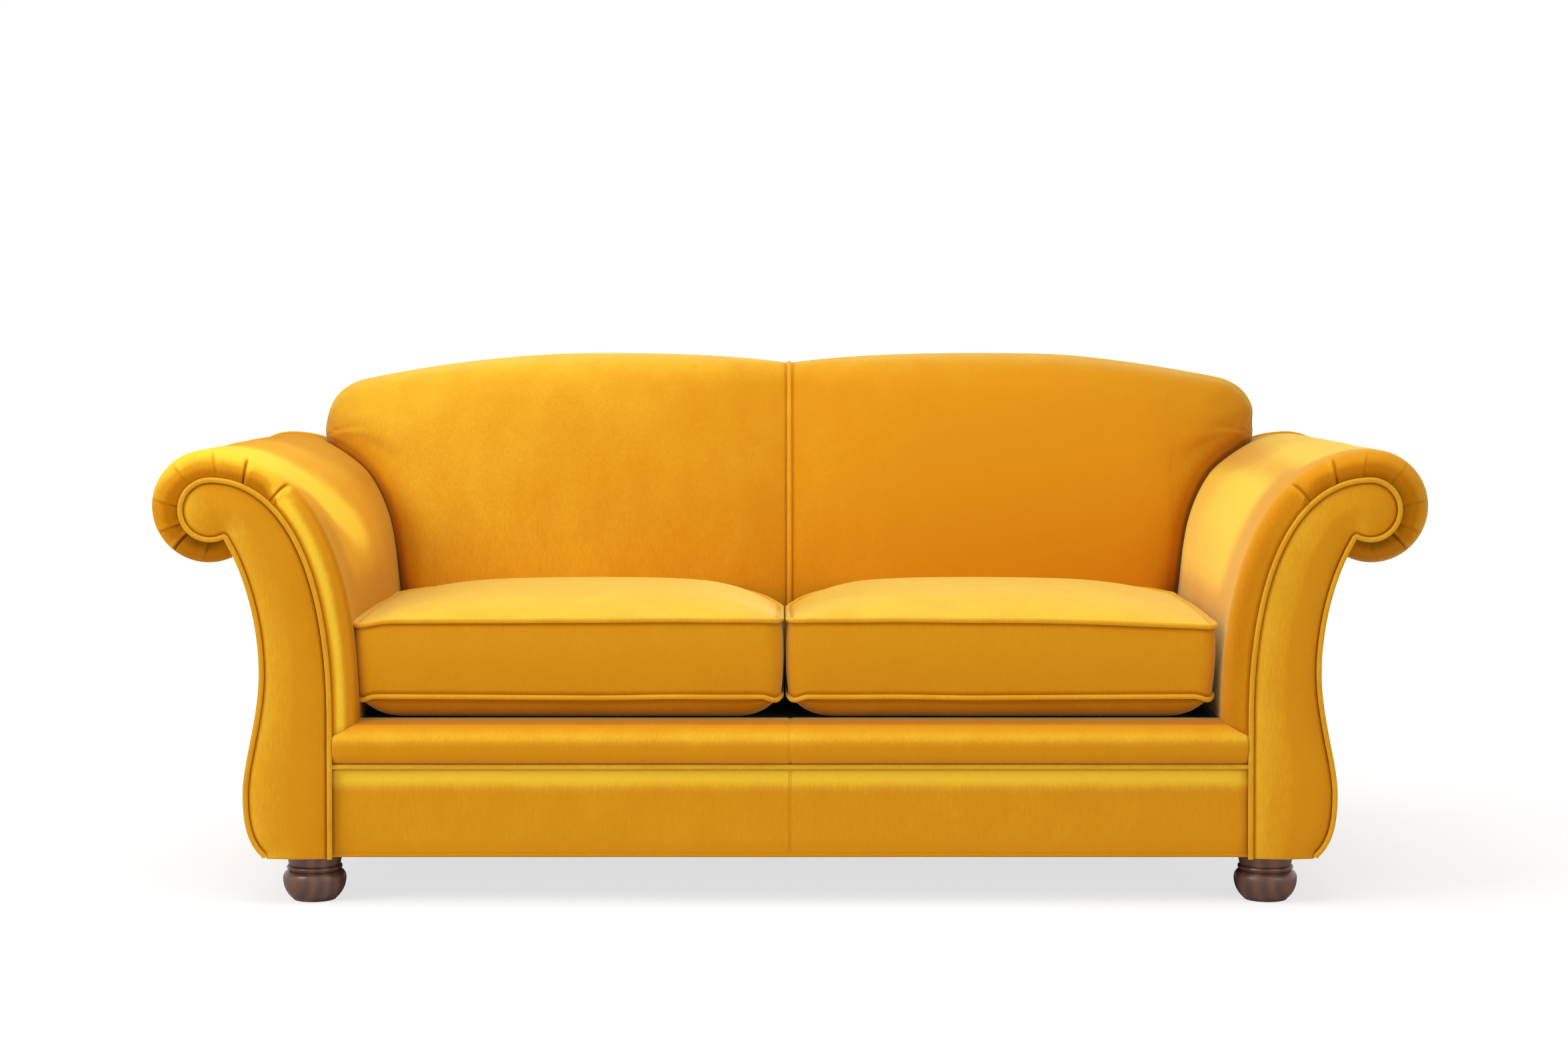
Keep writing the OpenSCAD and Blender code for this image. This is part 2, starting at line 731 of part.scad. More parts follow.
function cushion_ring(s, q, z) =
    let (r = cushion_corner_r - s, half = cushion_half - [s, s])
    [for (corner = [0:3]) for (k = [0:4])
        let (
            a = corner * 90 + k * 22.5,
            sx = corner == 0 || corner == 3 ? 1 : -1,
            sy = corner < 2 ? 1 : -1
        )
        [q * (sx * (half.x - r) + r * cos(a)), q * (sy * (half.y - r) + r * sin(a)), z]];
function dome(edge_z, crown, s) =
    [for (q = [1, 0.9, 0.72, 0.45, 0.12]) cushion_ring(s, q, edge_z + crown * (1 - q ^ 2.4))];
module cushion_place(side) {
    translate([side * pad_x / 2, at(cushion_front + cushion_d / 2), 0]) children();
}
module cushion_loft(rings) {
    loft(rings, [[for (k = [0:len(rings[0]) - 1]) k]]);
}
module cushion_skin(edge_z, crown, way) {
    outer = dome(edge_z + way * cloth_t, crown - way * cloth_t, piping_r);
    inner = dome(edge_z, crown - way * cloth_t, piping_r);
    rings = way > 0 ? concat(reversed(inner), outer) : concat(reversed(outer), inner);
    cushion_loft(rings);
}
module cushion_cover() {
    color(yellow) {
        cushion_skin(cushion_high, cushion_crown, 1);
        cushion_skin(cushion_low, -cushion_sag, -1);
        translate([0, 0, cushion_low + piping_r]) linear_extrude(cushion_t - 2 * piping_r) difference() {
            polygon([for (p = cushion_ring(0, 1, 0)) [p.x, p.y]]);
            polygon([for (p = cushion_ring(cloth_t, 1, 0)) [p.x, p.y]]);
        }
    }
}
module cushion_foam() {
    low = cushion_low + piping_r;
    high = cushion_high - piping_r;
    rings = concat(
        reversed(dome(cushion_low, -cushion_sag + cloth_t, piping_r)),
        [cushion_ring(piping_r, 1, low), cushion_ring(cloth_t, 1, low),
         cushion_ring(cloth_t, 1, high), cushion_ring(piping_r, 1, high)],
        dome(cushion_high, cushion_crown - cloth_t, piping_r)
    );
    color(foam_colour) cushion_loft(rings);
}
module cushion_piping() {
    r = cushion_corner_r;
    half = cushion_half;
    color(yellow_trim) for (z = [cushion_low, cushion_high]) translate([0, 0, z]) {
        for (side = [-1, 1]) {
            translate([side * half.x, half.y - r, 0]) rotate([90, 0, 0])
                cylinder(r = piping_r, h = 2 * (half.y - r), $fn = 32);
            translate([-half.x + r, side * half.y, 0]) rotate([0, 90, 0])
                cylinder(r = piping_r, h = 2 * (half.x - r), $fn = 32);
        }
        for (corner = [0:3])
            translate([
                (corner == 0 || corner == 3 ? 1 : -1) * (half.x - r),
                (corner < 2 ? 1 : -1) * (half.y - r),
                0
            ])
                rotate([0, 0, corner * 90]) rotate_extrude(angle = 90, $fn = 48)
                    translate([r, 0]) circle(r = piping_r, $fn = 32);
    }
}

// Feet

module foot(side, d) {
    neck_r = foot_r - 8;
    top_r = foot_r - 4;
    color(walnut) translate([side * (pad_x + foot_out), at(d), 0]) difference() {
        rotate_extrude($fn = 96) polygon(concat(
            [[0, 0], [foot_base_r, 0]],
            curve([[foot_base_r + 1.5, 2], [foot_r - 4, 12], [foot_r, 24], [foot_r, foot_h * 0.45]], 8),
            curve([[foot_r, foot_h * 0.45], [foot_r, foot_h * 0.52], [foot_r - 3, foot_h * 0.57],
                   [neck_r + 1, foot_h * 0.6]], 5, 1),
            [[neck_r - 2, foot_h * 0.615], [neck_r - 2, foot_h * 0.63]],
            curve([[neck_r, foot_h * 0.635], [neck_r + 2.5, foot_h * 0.65], [neck_r + 2.5, foot_h * 0.69],
                   [neck_r, foot_h * 0.71]], 5),
            [[neck_r - 2, foot_h * 0.715], [neck_r - 1, foot_h * 0.76]],
            curve([[neck_r - 1, foot_h * 0.76], [neck_r, foot_h * 0.86], [top_r, foot_h * 0.93],
                   [top_r, foot_h - 1.5]], 5, 1),
            [[top_r, foot_h], [0, foot_h]]
        ));
        translate([0, 0, foot_h - bolt_depth]) cylinder(r = bolt_r, h = bolt_depth + 1, $fn = 48);
    }
}
module at_feet() {
    for (side = [-1, 1]) for (d = [foot_front, foot_rear_d])
        translate([side * (pad_x + foot_out), at(d), foot_h]) children();
}
module foot_bolts() {
    color(steel) at_feet()
        translate([0, 0, -bolt_depth]) cylinder(r = bolt_r, h = bolt_depth + arm_rail_h + 4, $fn = 48);
}
module tee_nuts() {
    flange_r = tee_r + 6;
    flange_t = 1.6;
    barrel_h = 12;
    color(steel) at_feet() translate([0, 0, arm_rail_h]) difference() {
        union() {
            translate([0, 0, -barrel_h]) cylinder(r = tee_r, h = barrel_h, $fn = 48);
            cylinder(r = flange_r, h = flange_t, $fn = 48);
        }
        translate([0, 0, -barrel_h - 1]) cylinder(r = bolt_r, h = barrel_h + flange_t + 2, $fn = 48);
    }
}

front_rail();
rear_rail();
left() side_rail();  // side_rail_left
side_rail();  // side_rail_right
centre_rail();
corner_blocks();
left() arm_board(facing_t, 0.55);  // arm_front_board_left
arm_board(facing_t, 0.55);  // arm_front_board_right
left() arm_board(post_d - board_t, 0);  // arm_rear_board_left
arm_board(post_d - board_t, 0);  // arm_rear_board_right
left() arm_rails();  // arm_rails_left
arm_rails();  // arm_rails_right
left() arm_bottom_rail();  // arm_bottom_rail_left
arm_bottom_rail();  // arm_bottom_rail_right
back_posts();
back_centre_post();
back_top_rail();
back_tuck_rail();
seat_springs();
spring_clips();
spring_ties();
back_webbing();
deck_foam();
lip_foam();
left() arm_panel();  // arm_panel_left
arm_panel();  // arm_panel_right
left() arm_foam();  // arm_foam_left
arm_foam();  // arm_foam_right
left() arm_cover();  // arm_cover_left
arm_cover();  // arm_cover_right
left() arm_outside();  // arm_outside_left
arm_outside();  // arm_outside_right
left() arm_facing();  // arm_facing_left
arm_facing();  // arm_facing_right
left() arm_piping();  // arm_piping_left
arm_piping();  // arm_piping_right
left() back_foam();  // back_foam_left
back_foam();  // back_foam_right
left() back_cover();  // back_cover_left
back_cover();  // back_cover_right
back_piping();
outside_back();
lip_cover();
front_panel();
front_piping();
deck_cloth();
dust_cover();
cushion_place(-1) cushion_foam();  // cushion_foam_left
cushion_place(1) cushion_foam();  // cushion_foam_right
cushion_place(-1) cushion_cover();  // cushion_cover_left
cushion_place(1) cushion_cover();  // cushion_cover_right
cushion_place(-1) cushion_piping();  // cushion_piping_left
cushion_place(1) cushion_piping();  // cushion_piping_right
foot(-1, foot_front);  // foot_front_left
foot(1, foot_front);  // foot_front_right
foot(-1, foot_rear_d);  // foot_rear_left
foot(1, foot_rear_d);  // foot_rear_right
foot_bolts();
tee_nuts();
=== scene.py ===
import json
import math
import bpy
import numpy as np
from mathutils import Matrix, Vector, noise


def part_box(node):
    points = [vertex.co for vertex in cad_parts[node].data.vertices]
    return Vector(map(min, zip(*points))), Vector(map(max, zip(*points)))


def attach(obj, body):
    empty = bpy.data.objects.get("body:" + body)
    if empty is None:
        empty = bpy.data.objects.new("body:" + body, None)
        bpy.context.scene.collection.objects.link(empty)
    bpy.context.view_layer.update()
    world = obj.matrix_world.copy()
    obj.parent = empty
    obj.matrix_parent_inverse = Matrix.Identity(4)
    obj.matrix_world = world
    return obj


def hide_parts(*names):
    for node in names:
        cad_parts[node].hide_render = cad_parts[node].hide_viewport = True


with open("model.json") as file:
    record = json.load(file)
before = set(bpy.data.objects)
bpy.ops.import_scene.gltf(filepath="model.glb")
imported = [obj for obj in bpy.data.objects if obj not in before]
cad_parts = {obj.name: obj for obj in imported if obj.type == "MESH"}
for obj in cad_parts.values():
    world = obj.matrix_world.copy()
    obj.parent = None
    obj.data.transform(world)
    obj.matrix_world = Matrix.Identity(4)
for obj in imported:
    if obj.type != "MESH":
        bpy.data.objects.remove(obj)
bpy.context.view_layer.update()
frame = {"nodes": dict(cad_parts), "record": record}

# Depths run backwards from the plane of the arm facings, widths outwards from the middle
sofa = {
    "facingY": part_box("arm_facing_right")[0].y,
    "padX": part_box("arm_cover_right")[0].x,
    "deckZ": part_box("deck_cloth")[1].z,
    "hemZ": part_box("front_panel")[0].z,
    "footZ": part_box("foot_front_left")[1].z,
    "frameDepth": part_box("arm_cover_right")[1].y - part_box("arm_facing_right")[0].y,
    "postDepth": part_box("back_posts")[0].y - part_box("arm_facing_right")[0].y,
}
print("frame loaded:", len(frame["nodes"]), "nodes")


# Small helpers
def yAt(depth):
    return sofa["facingY"] + depth


def mix(a, b, t):
    return a + (b - a) * t


def bell(value, centre, width):
    return np.exp(-((value - centre) / width) ** 2)


def smoothStep(low, high, value):
    t = np.clip((value - low) / (high - low), 0, 1)
    return t * t * (3 - 2 * t)


def bezier(p, t):
    p, t = np.asarray(p, float), np.asarray(t, float)[:, None]
    return (1 - t) ** 3 * p[0] + 3 * t * (1 - t) ** 2 * p[1] + 3 * t ** 2 * (1 - t) * p[2] + t ** 3 * p[3]


def makeActive(piece):
    bpy.ops.object.select_all(action="DESELECT")
    piece.select_set(True)
    bpy.context.view_layer.objects.active = piece


def applyModifier(piece, kind, **values):
    makeActive(piece)
    modifier = piece.modifiers.new(kind.lower(), kind)
    for key, value in values.items():
        setattr(modifier, key, value)
    bpy.ops.object.modifier_apply(modifier=modifier.name)


def linked(name, data):
    piece = bpy.data.objects.new(name, data)
    bpy.context.scene.collection.objects.link(piece)
    return piece


def meshPiece(name, points, faces, smooth=True):
    mesh = bpy.data.meshes.new(name)
    mesh.from_pydata([tuple(p) for p in points], [], [tuple(f) for f in faces])
    mesh.update()
    if smooth:
        mesh.shade_smooth()
    return linked(name, mesh)


def readPoints(piece, what="co"):
    flat = np.zeros(len(piece.data.vertices) * 3)
    piece.data.vertices.foreach_get(what, flat)
    return flat.reshape(-1, 3)


def writePoints(piece, points):
    piece.data.vertices.foreach_set("co", np.asarray(points, float).ravel())
    piece.data.update()


def facesOutwards(piece):
    makeActive(piece)
    bpy.ops.object.mode_set(mode="EDIT")
    bpy.ops.mesh.select_all(action="SELECT")
    bpy.ops.mesh.remove_doubles(threshold=0.00002)
    bpy.ops.mesh.normals_make_consistent(inside=False)
    bpy.ops.object.mode_set(mode="OBJECT")


def outwardAt(piece, place, outwards):
    # Flips a sheet where its face nearest to place looks the wrong way
    nearest = min(piece.data.polygons, key=lambda f: (f.center - Vector(place)).length)
    if nearest.normal.dot(Vector(outwards)) < 0:
        piece.data.flip_normals()


def thicken(piece, place, outwards, thickness):
    outwardAt(piece, place, outwards)
    applyModifier(piece, "SOLIDIFY", thickness=thickness, offset=-1, use_rim=True)
    piece.data.shade_smooth()


def shadeSmooth(piece, angle):
    makeActive(piece)
    bpy.ops.object.shade_smooth_by_angle(angle=math.radians(angle))


def softNoise(points, size, seed):
    shift = Vector((seed * 7.1, seed * 3.7, seed * 5.3))
    values = [noise.noise(Vector(p) / size + shift) for p in np.reshape(points, (-1, 3))]
    return np.reshape(values, np.shape(points)[:-1])


def distanceTo(path, points):
    best = np.full(points.shape[:-1], 9.0)
    for a, b in zip(path[:-1], path[1:]):
        ab = b - a
        t = np.clip(((points - a) @ ab) / max(ab @ ab, 1e-12), 0, 1)
        best = np.minimum(best, np.linalg.norm(points - (a + t[..., None] * ab), axis=-1))
    return best


def gridNormals(grid, spot, outwards):
    # The unit normals of a grid of points, on the side that looks outwards at spot
    normals = np.cross(np.gradient(grid, axis=1), np.gradient(grid, axis=0))
    normals /= np.maximum(np.linalg.norm(normals, axis=2, keepdims=True), 1e-9)
    return -normals if normals[spot] @ np.array(outwards) < 0 else normals


def gridSheet(name, grid):
    rows, columns = grid.shape[:2]
    faces = []
    for j in range(rows - 1):
        for i in range(columns - 1):
            a, b = j * columns + i, (j + 1) * columns + i
            faces.append((a, a + 1, b + 1, b))
    return meshPiece(name, grid.reshape(-1, 3), faces)


def cordPiece(name, path, radius, closed=False):
    curve = bpy.data.curves.new(name, "CURVE")
    curve.dimensions = "3D"
    spline = curve.splines.new("POLY")
    spline.points.add(len(path) - 1)
    for point, place in zip(spline.points, path):
        point.co = (*place, 1)
    spline.use_cyclic_u = closed
    curve.bevel_depth = radius
    curve.bevel_resolution = 3  # eight sides
    curve.use_fill_caps = not closed
    makeActive(linked(name, curve))
    bpy.ops.object.convert(target="MESH")
    piece = bpy.context.view_layer.objects.active
    facesOutwards(piece)
    shadeSmooth(piece, 60)
    return piece


def evenPath(path, step, closed=False):
    path = np.asarray(path, float)
    if closed:
        path = np.vstack([path, path[:1]])
    lengths = np.concatenate([[0], np.cumsum(np.linalg.norm(np.diff(path, axis=0), axis=1))])
    places = np.linspace(0, lengths[-1], max(2, int(round(lengths[-1] / step)) + 1))
    even = np.column_stack([np.interp(places, lengths, path[:, k]) for k in range(path.shape[1])])
    return even[:-1] if closed else even


def mirroredPiece(piece, name):
    twin = linked(name, piece.data.copy())
    twin.data.name = name
    writePoints(twin, readPoints(twin) * [-1, 1, 1])
    twin.data.flip_normals()
    return twin


stuffing = {
    "pressure": 4.0, "stiffness": 15, "bending": 0.5, "mass": 0.3, "quality": 6, "frames": 20,
    "evenings": 8, "evenShare": 0.6,
}


def puff(piece, held, cap):
    # Blows a stuffed piece up against its held points, evens out its wrinkles, and moves no point past cap
    scene, rest = bpy.context.scene, readPoints(piece)
    group = piece.vertex_groups.new(name="held")
    group.add([int(i) for i in np.nonzero(held)[0]], 1.0, "REPLACE")
    cloth = piece.modifiers.new("cloth", "CLOTH")
    cloth.settings.quality = stuffing["quality"]
    cloth.settings.mass = stuffing["mass"]
    cloth.settings.use_pressure = True
    cloth.settings.uniform_pressure_force = stuffing["pressure"]
    cloth.settings.effector_weights.gravity = 0
    cloth.settings.vertex_group_mass = "held"
    cloth.settings.tension_stiffness = stuffing["stiffness"]
    cloth.settings.compression_stiffness = stuffing["stiffness"]
    cloth.settings.bending_stiffness = stuffing["bending"]
    cloth.point_cache.frame_start = 1
    cloth.point_cache.frame_end = stuffing["frames"]
    for step in range(1, stuffing["frames"] + 1):
        scene.frame_set(step)
    moved = readPoints(piece.evaluated_get(bpy.context.evaluated_depsgraph_get())) - rest
    edges = np.zeros(len(piece.data.edges) * 2, int)
    piece.data.edges.foreach_get("vertices", edges)
    edges = edges.reshape(-1, 2)
    first, second = np.vstack([edges, edges[:, ::-1]]).T
    count = np.bincount(first, minlength=len(rest))[:, None]
    for step in range(stuffing["evenings"]):
        near = np.column_stack([np.bincount(first, moved[second, k], len(rest)) for k in range(3)]) / count
        moved = np.where(held[:, None], moved, mix(moved, near, stuffing["evenShare"]))
    piece.modifiers.remove(cloth)
    piece.vertex_groups.remove(group)
    scene.frame_set(1)
    length = np.linalg.norm(moved, axis=1, keepdims=True)
    writePoints(piece, rest + moved * (cap * np.tanh(length / cap) / np.maximum(length, 1e-9)))
    print(piece.name, "puffed, up to", round(float(length.max()) * 1000, 1), "mm before the cap")


# Materials
def newMaterial(name):
    material = bpy.data.materials.new(name)
    material.use_nodes = True
    return material, material.node_tree, material.node_tree.nodes["Principled BSDF"]


def newGroup(name, **inputs):
    # A group with named inputs, which puts out a colour, a roughness and a height
    group = bpy.data.node_groups.new(name, "ShaderNodeTree")
    for label, value in inputs.items():
        kind = "Float" if isinstance(value, float) else "Vector" if len(value) == 3 else "Color"
        socket = group.interface.new_socket(label, in_out="INPUT", socket_type="NodeSocket" + kind)
        socket.default_value = value
    for label, kind in (("Color", "Color"), ("Roughness", "Float"), ("Height", "Float")):
        group.interface.new_socket(label, in_out="OUTPUT", socket_type="NodeSocket" + kind)
    return group, group.nodes.new("NodeGroupInput").outputs, group.nodes.new("NodeGroupOutput").inputs


def feed(tree, socket, value):
    if isinstance(value, bpy.types.NodeSocket):
        tree.links.new(value, socket)
    else:
        socket.default_value = value


def addNode(tree, kind, settings=None, **values):
    node = tree.nodes.new("ShaderNode" + kind)
    for key, value in (settings or {}).items():
        setattr(node, key, value)
    for key, value in values.items():
        feed(tree, node.inputs[key.replace("_", " ")], value)
    return node


def mathNode(tree, operation, a, b):
    node = addNode(tree, "Math", {"operation": operation})
    feed(tree, node.inputs[0], a)
    feed(tree, node.inputs[1], b)
    return node.outputs[0]


def plus(tree, a, b):
    return mathNode(tree, "ADD", a, b)


def times(tree, a, b):
    return mathNode(tree, "MULTIPLY", a, b)


def mixColours(tree, share, a, b, blend="MIX"):
    node = addNode(tree, "Mix", {"data_type": "RGBA", "blend_type": blend})
    for place, value in zip((0, 6, 7), (share, a, b)):
        feed(tree, node.inputs[place], value)
    return node.outputs[2]


def stretched(tree, scale=(1, 1, 1)):
    place = addNode(tree, "TexCoord").outputs["Object"]
    return addNode(tree, "Mapping", Vector=place, Scale=scale).outputs[0]


def noiseOn(tree, vector, scale, detail=3.0, rough=0.55):
    node = addNode(tree, "TexNoise", Vector=vector, Scale=scale, Detail=detail, Roughness=rough)
    return node.outputs["Fac"]


def spread(tree, value, low, high, newLow=0.0, newHigh=1.0):
    return addNode(tree, "MapRange", {"interpolation_type": "SMOOTHSTEP"}, Value=value, From_Min=low,
                   From_Max=high, To_Min=newLow, To_Max=newHigh).outputs[0]


def colour(r, g, b):
    # From the 0 to 255 values of a paint chart to linear light
    return tuple(((c / 255 + 0.055) / 1.055) ** 2.4 if c > 10 else c / 255 / 12.92 for c in (r, g, b)) + (1,)


white = (1, 1, 1, 1)
pileLook = {
    "cloudScale": (14, 14, 7), "fibreScale": (420, 420, 60), "grainScale": 520.0, "tuftScale": 1700.0,
    "drift": 0.45, "streak": 0.50, "creaseShade": (0.02, 0.006, 0.0, 1), "creaseShare": 0.68, "speckle": 0.10,
}


def buildPileGroup():
    # The point value read here is painted light and shade: 1 a painted highlight, -1 painted shade, -2.6
    # painted shade in a crease; pile tone that differs at random is added to it
    group, into, out = newGroup("velvetPile", Pile=white, Brushed=white, Shaded=white, Grain=1.0)
    paintedLight = addNode(group, "Attribute", {"attribute_name": "paintedLight"}).outputs["Fac"]
    clouds = noiseOn(group, stretched(group, pileLook["cloudScale"]), 1.0, 4.0, 0.6)
    fibres = noiseOn(group, stretched(group, pileLook["fibreScale"]), 1.0, 3.0, 0.6)
    grain = noiseOn(group, stretched(group), pileLook["grainScale"], 3.0, 0.7)
    tufts = noiseOn(group, stretched(group), pileLook["tuftScale"], 2.0, 0.6)
    drift = times(group, mathNode(group, "SUBTRACT", clouds, 0.5), pileLook["drift"])
    streak = times(group, mathNode(group, "SUBTRACT", fibres, 0.5), pileLook["streak"])
    lightAndTone = plus(group, paintedLight, plus(group, drift, streak))
    shade = mixColours(group, spread(group, lightAndTone, 0.0, 1.1), into["Pile"], into["Brushed"])
    shade = mixColours(group, spread(group, lightAndTone, 0.0, -1.1), shade, into["Shaded"])
    # Painted crease shade: the shaded colour, darker still
    paintedCreaseShade = mixColours(group, pileLook["creaseShare"], into["Shaded"], pileLook["creaseShade"])
    shade = mixColours(group, spread(group, lightAndTone, -1.3, -2.6), shade, paintedCreaseShade)
    speckle = times(group, spread(group, grain, 0.35, 0.65, 1.0, 0.0), pileLook["speckle"])
    shade = mixColours(group, times(group, speckle, into["Grain"]), shade, into["Shaded"])
    bumps = plus(group, times(group, grain, 0.5), times(group, tufts, 0.4))
    group.links.new(shade, out["Color"])
    group.links.new(spread(group, fibres, 0.3, 0.7, 0.80, 0.92), out["Roughness"])
    group.links.new(plus(group, times(group, fibres, 0.5), bumps), out["Height"])
    return group


grainLook = {"wander": 0.18, "ringScale": 2.2, "fineScale": 14.0, "poreScale": 60.0, "poreShade": 0.6}


def buildGrainGroup():
    group, into, out = newGroup("woodGrain", Light=white, Dark=(0, 0, 0, 1), Along=(1, 1, 1), Pores=1.0)
    vector = stretched(group, into["Along"])
    wander = addNode(group, "TexNoise", Vector=vector, Scale=1.6, Detail=3.0).outputs["Color"]
    bent = mixColours(group, grainLook["wander"], vector, wander, "ADD")
    rings = addNode(group, "TexWave", {"wave_type": "RINGS", "rings_direction": "Z"}, Vector=bent,
                    Scale=grainLook["ringScale"], Distortion=3.5, Detail=3.0).outputs["Fac"]
    fine = noiseOn(group, vector, grainLook["fineScale"], 4.0, 0.7)
    pores = noiseOn(group, vector, grainLook["poreScale"], 2.0, 0.6)
    share = plus(group, times(group, rings, 0.55), times(group, fine, 0.5))
    grain = mixColours(group, spread(group, share, 0.15, 0.9), into["Light"], into["Dark"])
    pits = times(group, spread(group, pores, 0.56, 0.66), into["Pores"])
    shade = mixColours(group, times(group, pits, grainLook["poreShade"]), grain, into["Dark"])
    group.links.new(shade, out["Color"])
    group.links.new(spread(group, fine, 0.3, 0.7, 0.32, 0.5), out["Roughness"])
    group.links.new(mathNode(group, "SUBTRACT", fine, pits), out["Height"])
    return group


def placeGroup(tree, group, **values):
    node = tree.nodes.new("ShaderNodeGroup")
    node.node_tree = group
    for key, value in values.items():
        node.inputs[key].default_value = value
    return node.outputs


def finishWith(tree, shader, shade, roughness, height=None, distance=0.001, strength=1.0):
    tree.links.new(shade, shader.inputs["Base Color"])
    tree.links.new(roughness, shader.inputs["Roughness"])
    if height is not None:
        bump = addNode(tree, "Bump", Strength=strength, Distance=distance, Height=height)
        tree.links.new(bump.outputs[0], shader.inputs["Normal"])


def setShader(shader, **values):
    for key, value in values.items():
        shader.inputs[key.replace("_", " ")].default_value = value


pileGroup = buildPileGroup()
grainGroup = buildGrainGroup()
# The highlit colour is the painted highlight of the velvet, the shaded colour its painted shade
velvet = {
    "pile": colour(221, 148, 24), "brushed": colour(254, 206, 58), "shaded": colour(188, 112, 6),
    "sheen": 0.85, "sheenRoughness": 0.36, "sheenTint": (0.97, 0.98, 0.40, 1), "gloss": 0.02,
    "bump": 0.0006, "bumpStrength": 0.6,
}


def velvetMaterial(name, darker=1.0, grain=1.0, sheen=velvet["sheen"], tint=velvet["sheenTint"]):
    material, tree, shader = newMaterial(name)
    shades = {}
    for key in ("Pile", "Brushed", "Shaded"):
        shades[key] = tuple(c * darker for c in velvet[key.lower()][:3]) + (1,)
    outputs = placeGroup(tree, pileGroup, Grain=grain, **shades)
    finishWith(tree, shader, *outputs, velvet["bump"], velvet["bumpStrength"])
    setShader(shader, Sheen_Weight=sheen, Sheen_Roughness=velvet["sheenRoughness"], Sheen_Tint=tint,
              Specular_IOR_Level=velvet["gloss"])
    return material


def woodMaterial(name, light, dark, along, pores, coat):
    material, tree, shader = newMaterial(name)
    outputs = placeGroup(tree, grainGroup, Light=light, Dark=dark, Along=along, Pores=pores)
    finishWith(tree, shader, *outputs, 0.0004, 0.4)
    setShader(shader, Coat_Weight=coat, Coat_Roughness=0.25)
    return material


def clothMaterial(name, light, dark, pitch, bump):
    # A plain weave, from two sets of crossing threads
    material, tree, shader = newMaterial(name)
    warp, weft = (addNode(tree, "TexWave", {"bands_direction": way}, Vector=stretched(tree), Scale=1 / pitch,
                          Distortion=0.6, Detail=1.0).outputs["Fac"] for way in "XZ")
    weave = times(tree, warp, weft)
    blotch = noiseOn(tree, stretched(tree), 25.0)
    share = plus(tree, times(tree, weave, 0.6), times(tree, blotch, 0.4))
    finishWith(tree, shader, mixColours(tree, share, dark, light), spread(tree, blotch, 0.3, 0.7, 0.8, 0.95),
               weave, bump, 0.7)
    return material


def steelMaterial(name):
    material, tree, shader = newMaterial(name)
    streaks = noiseOn(tree, stretched(tree, (30, 400, 400)), 1.0, 4.0)
    stains = spread(tree, noiseOn(tree, stretched(tree), 30.0, 4.0), 0.45, 0.7)
    finishWith(tree, shader, mixColours(tree, stains, (0.55, 0.56, 0.58, 1), (0.36, 0.35, 0.34, 1)),
               spread(tree, streaks, 0.3, 0.7, 0.28, 0.5))
    setShader(shader, Metallic=1.0)
    return material


def foamMaterial(name):
    material, tree, shader = newMaterial(name)
    cells = addNode(tree, "TexVoronoi", Vector=stretched(tree), Scale=700.0).outputs["Distance"]
    clouds = spread(tree, noiseOn(tree, stretched(tree), 12.0), 0.3, 0.7)
    finishWith(tree, shader, mixColours(tree, clouds, colour(244, 236, 208), colour(230, 216, 176)),
               spread(tree, cells, 0.0, 0.6, 0.95, 0.8), cells, 0.001, 0.6)
    return material


slotMaterials = {
    "velvet": velvetMaterial("velvetYellow"),
    "piping": velvetMaterial("velvetPiping", 0.97, 0.6),
    "foam": foamMaterial("creamFoam"),
    "frame_timber": woodMaterial("beechRail", colour(214, 182, 134), colour(168, 128, 82), (2.0, 14.0, 14.0),
                                 0.4, 0.0),
    "board": woodMaterial("plyBoard", colour(203, 172, 126), colour(150, 114, 74), (14.0, 14.0, 3.0),
                          0.6, 0.0),
    "steel": steelMaterial("springSteel"),
    "webbing": clothMaterial("juteWebbing", colour(176, 148, 98), colour(104, 82, 48), 0.0035, 0.0012),
    "dust_cloth": clothMaterial("blackCambric", colour(44, 44, 46), colour(20, 20, 22), 0.0022, 0.0004),
    "foot_wood": woodMaterial("walnutFoot", colour(110, 69, 48), colour(80, 49, 34), (6.0, 6.0, 1.2),
                              0.10, 0.4),
}
for row in frame["record"]["subparts"]:
    node = frame["nodes"][row["node"]]
    node.data.materials.clear()
    node.data.materials.append(slotMaterials[row["material_slot"]])


def paintLightAndShade(piece, rule):
    # Paints light and shade on to the points: rule is one value, or gives a value for each point from its
    # place
    points = readPoints(piece)
    values = rule(points) if callable(rule) else np.full(len(points), rule)
    layer = piece.data.attributes.new("paintedLight", "FLOAT", "POINT")
    layer.data.foreach_set("value", np.clip(values, -2.6, 1.5).astype(float))


def dress(piece, body, slotName, *nodes):
    piece.data.materials.clear()
    piece.data.materials.append(slotMaterials[slotName])
    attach(piece, body)
    if nodes:
        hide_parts(*nodes)


print("materials built")


# The arm section, as in the solids
arm = {
    "width": 0.340, "topZ": 0.745, "drop": 0.014, "scrollR": 0.093, "rollR": 0.044,
    "waistW": 0.161, "swellW": 0.185, "hemW": 0.149, "padSwell": (0.300, 0.260), "padReach": (0.145, 0.115),
    "scrollEnd": -119, "waistRise": 0.081, "swellRise": 0.085, "facingShift": (0.009, 0.004),
    "waistIn": 0.006, "swellIn": 0.003, "swellUp": 0.016, "postReach": 0.133, "hiddenArc": 90,
    "seamDepth": 0.0036, "seamRoll": 0.985, "ringSpacing": 1.35, "arcSteps": 210,
    "fullness": 0.020, "fullnessZ": (0.43, 0.66, 0.735), "fullnessDepth": (0.06, 0.52),
    "padThickness": 0.020, "outsideThickness": 0.004, "rollBulge": 0.0016, "lumps": 0.0018, "waves": 0.0012,
}
